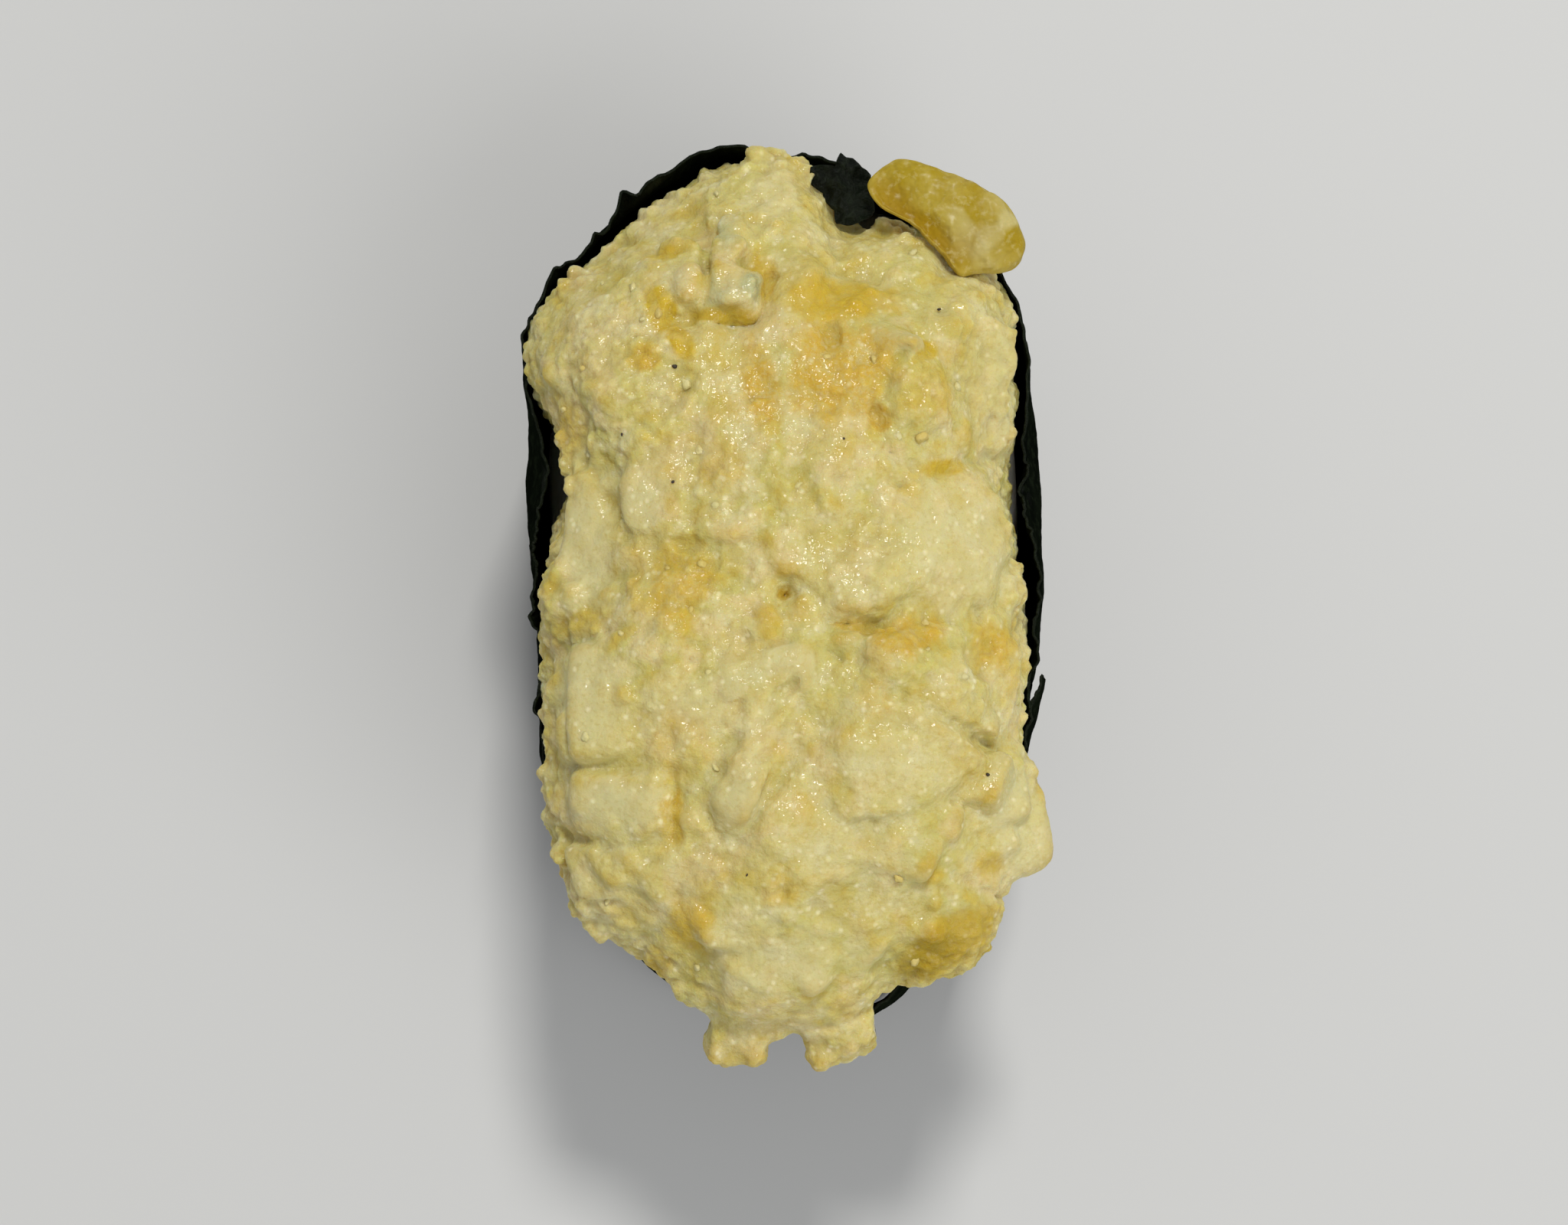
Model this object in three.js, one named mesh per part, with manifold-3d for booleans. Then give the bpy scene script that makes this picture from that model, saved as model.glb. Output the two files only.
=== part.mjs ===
// Egg mayonnaise sushi of the "battleship" kind: a pressed block of rice, one
// strip of dried seaweed wrapped round its side with the free end lapped over
// the start, and a heap of chopped egg in mayonnaise that fills the collar of
// seaweed and spills over its edge. One firm piece of yolk lies on the far
// right shoulder of the heap.
//
// Frame: millimetres, +Z up, the underside of the rice on Z = 0. +Y runs along
// the length towards the end where the yolk piece lies, +X to its right. The
// origin is under the middle of the whole piece.

import * as THREE from "three";
import { mergeVertices } from "three/addons/utils/BufferGeometryUtils.js";
import Module from "manifold-3d";

const wasm = await Module();
wasm.setup();

// ---------------------------------------------------------------- dimensions
const HALF_WIDTH = 14.2; // plan of the seaweed wall, across
const HALF_LENGTH = 24.9; // and along
const PLAN_POWER = 2.9; // 2 is an ellipse, more is squarer
const PLAN_TAPER = 0.05; // the far end is this share wider, the near end narrower
const BELLY = 0.9; // the wall swells by this at half height
const SHEET = 0.5; // seaweed, swollen by the moist rice
const WALL_HEIGHT = 27.5; // mean height of the seaweed strip
const WALL_FOOT = 0.25; // its lower edge hangs just clear of the table
const LAP_START = -60; // degrees, where the inner end of the strip starts
const LAP_LENGTH = 40; // degrees of strip that lie on its own start
const RICE_HEIGHT = 20;
const RICE_ROUND = 1.6; // rounding of the block's lower and upper edge
const HEAP_EDGE = 1.2; // the heap at its rim stands this far over the seaweed
const HEAP_RISE = 7.2; // and its middle this far over the rim
const HEAP_POWER = 2.9; // flat top and steep shoulders
const GAP = 0.3; // clearance between touching pieces
const AROUND = 72; // steps round the plan, 5 degrees each
const RICE_AROUND = 48; // and round the rice, which is hardly seen

// ------------------------------------------------------------------- helpers
const rad = THREE.MathUtils.degToRad;

function wrap(angle) {
  return Math.atan2(Math.sin(angle), Math.cos(angle));
}

// A smooth bump of height 1 at a plan direction, width in degrees.
function bump(theta, atDeg, widthDeg) {
  const d = wrap(theta - rad(atDeg)) / rad(widthDeg);
  return Math.exp(-d * d);
}

// Distance from the middle to the outside of the inner layer of seaweed.
function planRadius(theta) {
  const c = Math.cos(theta),
    s = Math.sin(theta);
  const a = HALF_WIDTH * (1 + PLAN_TAPER * s);
  const r = Math.pow(
    Math.pow(Math.abs(c) / a, PLAN_POWER) +
      Math.pow(Math.abs(s) / HALF_LENGTH, PLAN_POWER),
    -1 / PLAN_POWER,
  );
  return r + 0.22 * Math.sin(3 * theta + 0.7) + 0.15 * Math.sin(5 * theta + 2.1);
}

// Swelling of the wall with height.
function belly(z) {
  const u = THREE.MathUtils.clamp(z / WALL_HEIGHT, 0, 1.1);
  return BELLY * Math.sin(Math.PI * u);
}

// Height of the seaweed's upper edge. It stands up at the far left, and in a
// torn tab beside the yolk piece.
function wallTop(theta) {
  return (
    WALL_HEIGHT +
    0.5 * Math.sin(2 * theta + 0.4) +
    0.35 * Math.sin(5 * theta + 1.9) +
    0.2 * Math.sin(11 * theta + 0.3) +
    1.9 * bump(theta, 122, 26) +
    2.6 * bump(theta, 80, 7)
  );
}

// How far the heap's rim reaches past the seaweed: drawn in at the far left, at
// the torn tab and at a waist on either side.
function overhang(theta) {
  return (
    0.75 +
    0.3 * Math.sin(4 * theta + 0.9) +
    0.3 * Math.sin(7 * theta + 2.3) +
    0.2 * Math.sin(13 * theta + 1.1) -
    2.5 * bump(theta, 118, 22) -
    2.2 * bump(theta, 80, 6) -
    1.3 * bump(theta, 151, 6) -
    0.8 * bump(theta, 29, 6)
  );
}

// How far the heap's rim hangs down outside the seaweed.
function droop(theta) {
  return (
    1.5 + 0.7 * Math.sin(3 * theta + 1.2) + 0.5 * Math.sin(8 * theta + 0.5)
  );
}

// Height of the heap's skin over a point of the plan.
function heapTop(x, y) {
  const theta = Math.atan2(y, x);
  const share = Math.min(1, Math.hypot(x, y) / planRadius(theta));
  return (
    WALL_HEIGHT + HEAP_EDGE + HEAP_RISE * (1 - Math.pow(share, HEAP_POWER))
  );
}

// A closed solid from any geometry class: only positions are kept, shared
// corners are merged, and the faces are turned outwards.
function solid(geometry) {
  const g = geometry.index ? geometry.clone() : mergeVertices(geometry);
  g.deleteAttribute("normal");
  g.deleteAttribute("uv");
  const merged = mergeVertices(g, 1e-4);
  const index = Array.from(merged.index.array);
  const kept = [];
  for (let i = 0; i < index.length; i += 3) {
    const [p, q, r] = index.slice(i, i + 3);
    if (p !== q && q !== r && r !== p) kept.push(p, q, r);
  }
  const make = (triVerts) =>
    new wasm.Manifold(
      new wasm.Mesh({
        numProp: 3,
        vertProperties: new Float32Array(merged.attributes.position.array),
        triVerts: new Uint32Array(triVerts),
      }),
    );
  const made = make(kept);
  if (made.volume() > 0) return made;
  const turned = [];
  for (let i = 0; i < kept.length; i += 3)
    turned.push(kept[i], kept[i + 2], kept[i + 1]);
  return make(turned);
}

// The largest body of a solid, as a named mesh.
function meshOf(name, made, material) {
  const body = made.decompose().sort((p, q) => q.volume() - p.volume())[0];
  const m = body.getMesh();
  const positions = new Float32Array(m.numVert * 3);
  for (let i = 0; i < m.numVert; i++)
    positions.set(
      m.vertProperties.subarray(i * m.numProp, i * m.numProp + 3),
      i * 3,
    );
  const geometry = new THREE.BufferGeometry()
    .setAttribute("position", new THREE.BufferAttribute(positions, 3))
    .setIndex(new THREE.BufferAttribute(m.triVerts.slice(), 1));
  geometry.computeVertexNormals();
  const mesh = new THREE.Mesh(geometry, material);
  mesh.name = name;
  return mesh;
}

// A lathe whose circle is stretched to the oval plan. Each profile entry gives
// a radius and a height for a plan direction.
function ovalLathe(profile, around = AROUND) {
  const g = new THREE.LatheGeometry(
    profile.map((_, i) => new THREE.Vector2(1, i)),
    around,
  );
  const at = g.attributes.position;
  for (let i = 0; i <= around; i++)
    profile.forEach((entry, j) => {
      const theta = wrap(((i % around) / around) * 2 * Math.PI);
      const { r, z } = entry(theta);
      at.setXYZ(
        i * profile.length + j,
        r * Math.cos(theta),
        r * Math.sin(theta),
        z,
      );
    });
  return solid(g);
}

// -------------------------------------------------------------------- seaweed
// How far the strip lies outside the inner layer, at an angle along it: it
// starts on the rice, climbs over its own start before the lap, and its free
// end stands off a little.
const TURN = 360;
function lapOffset(along) {
  const climb = THREE.MathUtils.smoothstep(along, TURN - 22, TURN - 2);
  const end = TURN + LAP_LENGTH;
  const spring = THREE.MathUtils.smoothstep(along, end - 16, end);
  return (SHEET + GAP) * climb + 0.45 * spring;
}

// The strip: a flat bar bent round the plan, shaped by the belly and by the
// height of its upper edge.
function seaweedStrip() {
  const steps = ((TURN + LAP_LENGTH) / TURN) * AROUND;
  const g = new THREE.BoxGeometry(1, 1, 1, steps, 4, 1);
  const at = g.attributes.position;
  for (let i = 0; i < at.count; i++) {
    const along = (at.getX(i) + 0.5) * (TURN + LAP_LENGTH);
    const theta = wrap(rad(LAP_START + along));
    const z = WALL_FOOT + (at.getY(i) + 0.5) * (wallTop(theta) - WALL_FOOT);
    const r =
      planRadius(theta) +
      lapOffset(along) +
      belly(z) +
      (at.getZ(i) - 0.5) * SHEET;
    at.setXYZ(i, r * Math.cos(theta), r * Math.sin(theta), z);
  }
  return solid(g);
}
const seaweed = seaweedStrip();

// The room that the seaweed takes up with its clearance, both layers as one.
function clearanceRing() {
  const outer = (theta) => {
    const lapped = THREE.MathUtils.euclideanModulo(
      THREE.MathUtils.radToDeg(theta) - LAP_START + 1e-6,
      TURN,
    );
    const second =
      lapped < LAP_LENGTH + 5
        ? lapOffset(TURN + Math.min(lapped, LAP_LENGTH))
        : 0;
    return Math.max(lapOffset(lapped), second) + GAP;
  };
  const share = [0, 0.25, 0.5, 0.75, 1];
  const corner = (k, side) => (theta) => {
    const top = wallTop(theta);
    const z = k === 1 ? top + GAP : WALL_FOOT + k * (top - WALL_FOOT);
    const level = k === 0 ? -2 : z;
    return { r: planRadius(theta) + belly(z) + side(theta), z: level };
  };
  const inside = share.map((k) => corner(k, () => -SHEET - GAP));
  const outside = share.map((k) => corner(k, outer)).reverse();
  return ovalLathe([...inside, ...outside, inside[0]]);
}
const seaweedRoom = clearanceRing();

// ----------------------------------------------------------------------- rice
// A pressed block with rounded edges, flat below, its sides dimpled by grains.
function riceBlock(grow, top) {
  const side = (theta, z) =>
    planRadius(theta) - SHEET - GAP + belly(z) + grow -
    (grow ? 0 : 0.25 * (1 + Math.sin(9 * theta + z)));
  const level = (z, inset) => (theta) => ({
    r: side(theta, z) - inset,
    z,
  });
  const q = RICE_ROUND * 0.3;
  const profile = [
    () => ({ r: 0, z: 0 - grow }),
    level(0 - grow, RICE_ROUND * 0.8),
    level(q, q),
    level(RICE_ROUND, 0),
    level(RICE_HEIGHT * 0.5, 0),
    level(top - RICE_ROUND, 0),
    level(top - q, q),
    (theta) => ({ r: side(theta, top) - RICE_ROUND * 1.2, z: top }),
    (theta) => ({
      r: 0.5 * planRadius(theta),
      z: top + (grow ? 0.3 : 0.3 * Math.sin(2 * theta)),
    }),
    () => ({ r: 0, z: top }),
  ];
  return ovalLathe(profile, RICE_AROUND);
}
const rice = riceBlock(0, RICE_HEIGHT);
const riceRoom = riceBlock(GAP, RICE_HEIGHT + 2 * GAP);

// -------------------------------------------------------------- heaped filling
// Lumps of the heap: place on the plan, how far each stands out of the heap's
// skin, half sizes, turn about the vertical, and how square it is (2 is round,
// more is a cut piece of egg white). SWELLS are broad and stay under the skin,
// which they lift; LUMPS break through it.
const SWELLS = [
  ["far_left_shoulder", -8.6, 13.4, 0.9, 5.4, 5.6, 3.6, 20, 2.4],
  ["yolk_patch", 3.4, 13.2, 0.6, 5.0, 4.6, 2.6, 0, 2.6],
  ["round_right", 7.9, 10.0, 1.0, 2.8, 2.8, 2.5, 0, 2],
  ["far_right_shoulder", 10.6, 14.2, 0.9, 3.0, 4.8, 3.2, -8, 2.2],
  ["under_yolk_piece", 6.8, 18.4, 0.6, 4.6, 3.0, 2.8, -20, 2.2],
  ["centre", 0.4, 5.2, 0.7, 4.6, 4.4, 3.2, 0, 2.2],
  ["left_smooth", -9.0, -5.4, 1.0, 4.4, 4.6, 3.2, 0, 3],
  ["right_middle", 7.2, -8.2, 1.0, 5.2, 4.8, 3.4, 30, 2.4],
  ["low_centre", 1.6, -16.2, 0.8, 6.2, 5.2, 3.6, 0, 2.2],
  ["low_left", -8.2, -16.8, 1.0, 4.2, 3.8, 3.4, 20, 2.4],
];
const LUMPS = [
  ["far_tip", -0.4, 23.2, 0.7, 2.1, 2.6, 2.0, 0, 2.4],
  ["crumb", -3.8, 16.6, 1.6, 2.5, 2.1, 2.0, 10, 2.8],
  ["white_block_left", -7.4, 5.4, 1.2, 3.0, 2.6, 2.6, 8, 3.8],
  ["left_ridge", -11.5, 3.4, 0.9, 2.3, 4.2, 2.8, 4, 2.6],
  ["white_slab_right", 9.8, 3.2, 1.3, 4.2, 3.6, 3.4, 24, 3.2],
  ["white_slab_lobe", 4.6, 0.2, 1.4, 3.4, 2.9, 3.0, 12, 3],
  ["right_edge", 11.8, -4.8, 0.9, 2.6, 3.8, 2.8, 0, 2.2],
  ["white_block_low", -9.8, -12.3, 1.4, 3.5, 2.4, 2.6, -4, 4.5],
  ["white_strip", -1.8, -8.8, 1.2, 2.1, 5.6, 2.5, -27, 3.2],
  ["white_corner_right", 12.5, -14.2, 1.4, 3.0, 4.0, 3.2, 12, 3.8],
  ["white_corner_left", -10.9, -19.6, 1.6, 2.0, 1.9, 2.2, 20, 3.4],
  ["yolk_low_right", 9.2, -20.0, 1.6, 3.2, 1.9, 2.2, 26, 2.6],
  ["near_tip", -0.4, -23.0, 1.2, 4.6, 3.0, 3.2, 0, 2.2],
  ["drip_left", -2.6, -26.2, -0.6, 2.1, 2.0, 2.0, 0, 2],
  ["drip_right", 2.7, -25.9, -0.6, 2.4, 1.9, 2.0, 28, 2.2],
];

// The skin lifted by the swells, with the fine unevenness of chopped egg.
function skin(x, y) {
  let lift = 0;
  for (const [, cx, cy, proud, rx, ry, , turn, power] of SWELLS) {
    const c = Math.cos(rad(turn)),
      s = Math.sin(rad(turn));
    const u = ((x - cx) * c + (y - cy) * s) / rx;
    const v = ((y - cy) * c - (x - cx) * s) / ry;
    const q = Math.pow(Math.abs(u), power) + Math.pow(Math.abs(v), power);
    if (q < 1) lift = Math.max(lift, proud * Math.pow(1 - q, 0.6));
  }
  return (
    heapTop(x, y) +
    lift +
    0.2 * Math.sin(1.9 * x + 1.3) * Math.sin(1.6 * y + 0.4) +
    0.15 * Math.sin(1.1 * x + 0.9 * y + 0.6) * Math.sin(1.2 * y - 0.8 * x)
  );
}

// The body of the heap: from its seat on the rice out under and over the rim of
// the seaweed, and up over the dome. A box whose square top is stretched to the
// oval plan and whose sides take on the profile of the rim.
function heapBody() {
  const inside = (theta) => planRadius(theta) - SHEET - 2 * GAP;
  const rim = (theta) => planRadius(theta) + overhang(theta);
  const sides = [
    (theta) => ({ r: inside(theta) - 0.4, z: RICE_HEIGHT - 1 }),
    (theta) => ({ r: inside(theta), z: wallTop(theta) - 3.2 }),
    (theta) => ({ r: rim(theta) - 0.3, z: WALL_HEIGHT + 0.9 - droop(theta) }),
    (theta) => ({ r: rim(theta) + 0.2, z: WALL_HEIGHT + 0.6 }),
  ];
  const g = new THREE.BoxGeometry(2, 2, 4, 20, 32, 4);
  const at = g.attributes.position;
  for (let i = 0; i < at.count; i++) {
    const u = at.getX(i),
      v = at.getY(i),
      level = Math.round(at.getZ(i)) + 2;
    const share = Math.max(Math.abs(u), Math.abs(v));
    const theta = Math.atan2(1.7 * v, u);
    if (level === 4) {
      const r = share * rim(theta);
      const x = r * Math.cos(theta),
        y = r * Math.sin(theta);
      at.setXYZ(i, x, y, skin(x, y));
      continue;
    }
    const { r, z } = sides[level](theta);
    at.setXYZ(i, share * r * Math.cos(theta), share * r * Math.sin(theta), z);
  }
  return solid(g);
}

// A rounded lump: a sphere, squared by its power and roughened a little.
function lump([, x, y, proud, rx, ry, rz, turn, power], seed) {
  const g = new THREE.SphereGeometry(1, 10, 7);
  const v = new THREE.Vector3();
  const at = g.attributes.position;
  for (let i = 0; i < at.count; i++) {
    v.fromBufferAttribute(at, i);
    const squared = Math.pow(
      Math.pow(Math.abs(v.x), power) +
        Math.pow(Math.abs(v.y), power) +
        Math.pow(Math.abs(v.z), power),
      -1 / power,
    );
    const rough =
      1 + 0.05 * Math.sin(4 * v.x + seed) * Math.sin(5 * v.y + 2 * seed + v.z);
    v.multiplyScalar(squared * rough);
    at.setXYZ(i, v.x * rx, v.y * ry, v.z * rz);
  }
  g.rotateZ(rad(turn));
  g.translate(x, y, heapTop(x, y) + proud - rz);
  return solid(g);
}

// --------------------------------------------------------------- piece of yolk
// A firm slice of yolk, bent along its length, that leans out over the seaweed.
const YOLK = {
  half: [5.3, 2.5, 1.5],
  power: 3,
  bend: 0.055,
  turn: -33,
  lean: -24,
  place: [9.0, 20.9, 31.4],
};
function yolkSolid(grow) {
  const g = new THREE.SphereGeometry(1, 16, 10);
  const v = new THREE.Vector3();
  const at = g.attributes.position;
  for (let i = 0; i < at.count; i++) {
    v.fromBufferAttribute(at, i);
    v.multiplyScalar(
      Math.pow(
        Math.abs(v.x) ** YOLK.power +
          Math.abs(v.y) ** YOLK.power +
          Math.abs(v.z) ** YOLK.power,
        -1 / YOLK.power,
      ),
    );
    const x = v.x * (YOLK.half[0] + grow);
    const y = v.y * (YOLK.half[1] + grow) * (1 - 0.12 * v.x);
    const z = v.z * (YOLK.half[2] + grow);
    at.setXYZ(i, x, y - YOLK.bend * x * x + 0.4, z);
  }
  g.rotateX(rad(YOLK.lean));
  g.rotateZ(rad(YOLK.turn));
  g.translate(...YOLK.place);
  return solid(g);
}
const yolk = yolkSolid(0).subtract(seaweedRoom);

const heap = LUMPS.reduce(
  (whole, row, i) => whole.add(lump(row, i)),
  heapBody(),
)
  .subtract(riceRoom)
  .subtract(seaweedRoom)
  .subtract(yolkSolid(GAP));

// ------------------------------------------------------------------- assembly
const looks = {
  rice: { color: 0xeeebdf, roughness: 0.5 },
  seaweed: { color: 0x141612, roughness: 0.45 },
  egg_mayonnaise: { color: 0xe6d591, roughness: 0.35 },
  yolk_piece: { color: 0xd9b24c, roughness: 0.35 },
};
const material = (name) =>
  new THREE.MeshStandardMaterial({ ...looks[name], metalness: 0 });

const sushi = new THREE.Group();
sushi.add(
  meshOf("rice", rice, material("rice")),
  meshOf("seaweed", seaweed, material("seaweed")),
  meshOf("egg_mayonnaise", heap, material("egg_mayonnaise")),
  meshOf("yolk_piece", yolk, material("yolk_piece")),
);

// The origin goes under the middle of the whole.
const whole = new THREE.Box3().setFromObject(sushi);
sushi.position.set(
  -(whole.min.x + whole.max.x) / 2,
  -(whole.min.y + whole.max.y) / 2,
  0,
);

export default sushi;
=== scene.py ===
"""Egg mayonnaise gunkan sushi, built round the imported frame.

A block of pressed rice, a lapped strip of damp seaweed round it, and a heap of
chopped egg in mayonnaise with a firm slice of yolk on one shoulder.

Shapes are worked out in millimetres in the part's working frame, whose zero is
under the middle of the seaweed's plan, and written to the meshes in metres in
the row frame. +X is to the right, +Y away from the viewer, +Z up.
"""

import math

import bmesh
import bpy
import numpy as np
from mathutils import Matrix, Vector


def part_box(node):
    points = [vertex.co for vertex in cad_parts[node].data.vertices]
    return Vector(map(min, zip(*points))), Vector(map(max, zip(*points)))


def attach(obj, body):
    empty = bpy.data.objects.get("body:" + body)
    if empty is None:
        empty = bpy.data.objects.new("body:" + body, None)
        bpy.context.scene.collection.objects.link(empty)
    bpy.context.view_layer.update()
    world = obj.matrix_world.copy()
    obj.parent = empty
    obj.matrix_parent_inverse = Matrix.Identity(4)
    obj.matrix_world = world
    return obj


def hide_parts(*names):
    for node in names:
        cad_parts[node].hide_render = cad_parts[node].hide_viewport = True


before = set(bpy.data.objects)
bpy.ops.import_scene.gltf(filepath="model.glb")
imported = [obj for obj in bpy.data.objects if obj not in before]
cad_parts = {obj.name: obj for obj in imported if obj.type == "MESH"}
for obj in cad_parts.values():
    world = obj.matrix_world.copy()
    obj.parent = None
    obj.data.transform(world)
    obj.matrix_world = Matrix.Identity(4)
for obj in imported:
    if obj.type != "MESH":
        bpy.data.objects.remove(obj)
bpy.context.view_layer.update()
MM = 0.001

# ------------------------------------------------------------ the row's frame
# The rice is the same in both, so its box gives the step from the working
# frame to the row frame.
RICE_MID = ((-14.51 + 14.55) / 2, (-25.10 + 24.63) / 2)
_lo, _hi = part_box("rice")
SHIFT = np.array(
    [
        (_lo[0] + _hi[0]) / 2 / MM - RICE_MID[0],
        (_lo[1] + _hi[1]) / 2 / MM - RICE_MID[1],
        0.0,
    ]
)

# ------------------------------------------------------------------ dimensions
HALF_WIDTH = 14.2
HALF_LENGTH = 24.9
PLAN_POWER = 2.9
PLAN_TAPER = 0.05
BELLY = 0.9
WALL_HEIGHT = 27.5
WALL_FOOT = 0.25
LAP_START = -60.0
LAP_LENGTH = 40.0
RICE_HEIGHT = 20.0
HEAP_EDGE = 1.2
HEAP_RISE = 7.2
HEAP_POWER = 3.4
VOXEL = 0.185  # finest step of the heap's surface

# ----------------------------------------------------------------- small tools


def smoothstep(x, a=0.0, b=1.0):
    t = np.clip((x - a) / (b - a), 0.0, 1.0)
    return t * t * (3 - 2 * t)


def smin(a, b, k):
    h = np.clip(0.5 + 0.5 * (b - a) / k, 0.0, 1.0)
    return b * (1 - h) + a * h - k * h * (1 - h)


def smax(a, b, k):
    return -smin(-a, -b, k)


def bump(theta, at_deg, width_deg):
    d = theta - math.radians(at_deg)
    d = np.arctan2(np.sin(d), np.cos(d)) / math.radians(width_deg)
    return np.exp(-d * d)


def turn_matrix(yaw, pitch=0.0, roll=0.0):
    e = Matrix.Rotation(math.radians(yaw), 3, "Z")
    e = e @ Matrix.Rotation(math.radians(pitch), 3, "Y")
    e = e @ Matrix.Rotation(math.radians(roll), 3, "X")
    return np.array(e, dtype=np.float64)


def lattice(ix, iy, iz, seed):
    """A fixed pseudo-random number from 0 to 1 for each lattice point."""
    h = ix.astype(np.int64).astype(np.uint32) * np.uint32(0x9E3779B1)
    h ^= iy.astype(np.int64).astype(np.uint32) * np.uint32(0x85EBCA77)
    h ^= iz.astype(np.int64).astype(np.uint32) * np.uint32(0xC2B2AE3D)
    h ^= np.uint32((seed * 0x27D4EB2F + 0x165667B1) & 0xFFFFFFFF)
    h ^= h >> np.uint32(15)
    h *= np.uint32(0x2C1B3C6D)
    h ^= h >> np.uint32(12)
    h *= np.uint32(0x297A2D39)
    h ^= h >> np.uint32(15)
    return h.astype(np.float64) / 4294967295.0


_TILT = turn_matrix(31, 24, 17)


def noise(p, size, seed):
    """Smooth value noise from -1 to 1, with features of about that size."""
    q = (p @ _TILT.T) / size + seed * 7.31
    i = np.floor(q).astype(np.int64)
    f = q - i
    f = f * f * f * (f * (f * 6 - 15) + 10)
    total = np.zeros(len(p))
    for dx in (0, 1):
        wx = f[:, 0] if dx else 1 - f[:, 0]
        for dy in (0, 1):
            wy = f[:, 1] if dy else 1 - f[:, 1]
            for dz in (0, 1):
                wz = f[:, 2] if dz else 1 - f[:, 2]
                total += (
                    wx * wy * wz * lattice(i[:, 0] + dx, i[:, 1] + dy, i[:, 2] + dz, seed)
                )
    return total * 2 - 1


def fbm(p, size, seed, octaves=3, gain=0.5):
    total, amp, norm = 0.0, 1.0, 0.0
    for k in range(octaves):
        total = total + amp * noise(p, size, seed + 17 * k)
        norm += amp
        amp *= gain
        size *= 0.53
    return total / norm


def build(name, verts_mm, faces, smooth=True):
    """A mesh object from points in the working frame and lists of faces."""
    me = bpy.data.meshes.new(name)
    pts = (np.asarray(verts_mm, dtype=np.float64) + SHIFT) * MM
    me.vertices.add(len(pts))
    me.vertices.foreach_set("co", pts.astype(np.float32).ravel())
    arrays = [np.asarray(f, dtype=np.int32) for f in faces if len(f)]
    loops = np.concatenate([a.ravel() for a in arrays])
    sizes = np.concatenate([np.full(len(a), a.shape[1], np.int32) for a in arrays])
    me.loops.add(len(loops))
    me.loops.foreach_set("vertex_index", loops)
    me.polygons.add(len(sizes))
    me.polygons.foreach_set(
        "loop_start", np.concatenate([[0], np.cumsum(sizes)[:-1]]).astype(np.int32)
    )
    me.polygons.foreach_set("loop_total", sizes)
    me.polygons.foreach_set("use_smooth", np.full(len(sizes), smooth))
    me.update(calc_edges=True)
    me.validate()
    ob = bpy.data.objects.new(name, me)
    bpy.context.scene.collection.objects.link(ob)
    return ob


def paint(ob, **masks):
    """Named per-point numbers that the material reads."""
    for key, values in masks.items():
        at = ob.data.attributes.new(key, "FLOAT", "POINT")
        at.data.foreach_set("value", np.asarray(values, dtype=np.float32))


def normals_of(verts, faces):
    n = np.zeros_like(verts)
    for f in faces:
        a = verts[f[:, 1]] - verts[f[:, 0]]
        b = verts[f[:, -1]] - verts[f[:, 0]]
        c = np.cross(a, b)
        for k in range(f.shape[1]):
            np.add.at(n, f[:, k], c)
    return n / np.maximum(np.linalg.norm(n, axis=1, keepdims=True), 1e-12)


def ball(steps_round, steps_up):
    """Unit sphere points and faces, poles included."""
    t = np.linspace(0, 2 * np.pi, steps_round, endpoint=False)
    p = np.linspace(0, np.pi, steps_up + 1)[1:-1]
    ring = np.stack(
        [
            np.outer(np.sin(p), np.cos(t)).ravel(),
            np.outer(np.sin(p), np.sin(t)).ravel(),
            np.outer(np.cos(p), np.ones_like(t)).ravel(),
        ],
        1,
    )
    pts = np.concatenate([ring, [[0, 0, 1], [0, 0, -1]]])
    nr, nl = steps_round, steps_up - 1
    a = np.arange(nr)
    b = (a + 1) % nr
    quads = np.concatenate(
        [np.stack([k * nr + a, (k + 1) * nr + a, (k + 1) * nr + b, k * nr + b], 1) for k in range(nl - 1)]
    )
    top = np.stack([np.full(nr, nl * nr), a, b], 1)
    low = np.stack([np.full(nr, nl * nr + 1), (nl - 1) * nr + b, (nl - 1) * nr + a], 1)
    return pts, quads, np.concatenate([top, low])


# --------------------------------------------------------------- plan and wall


def plan_radius(theta):
    c, s = np.cos(theta), np.sin(theta)
    a = HALF_WIDTH * (1 + PLAN_TAPER * s)
    r = (
        np.abs(c / a) ** PLAN_POWER + np.abs(s / HALF_LENGTH) ** PLAN_POWER
    ) ** (-1 / PLAN_POWER)
    return r + 0.22 * np.sin(3 * theta + 0.7) + 0.15 * np.sin(5 * theta + 2.1)


def belly(z):
    return BELLY * np.sin(np.pi * np.clip(z / WALL_HEIGHT, 0, 1.1))


def wall_top(theta):
    return (
        WALL_HEIGHT
        + 0.5 * np.sin(2 * theta + 0.4)
        + 0.35 * np.sin(5 * theta + 1.9)
        + 0.2 * np.sin(11 * theta + 0.3)
        + 1.9 * bump(theta, 122, 26)
        + 2.6 * bump(theta, 80, 7)
    )


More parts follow.
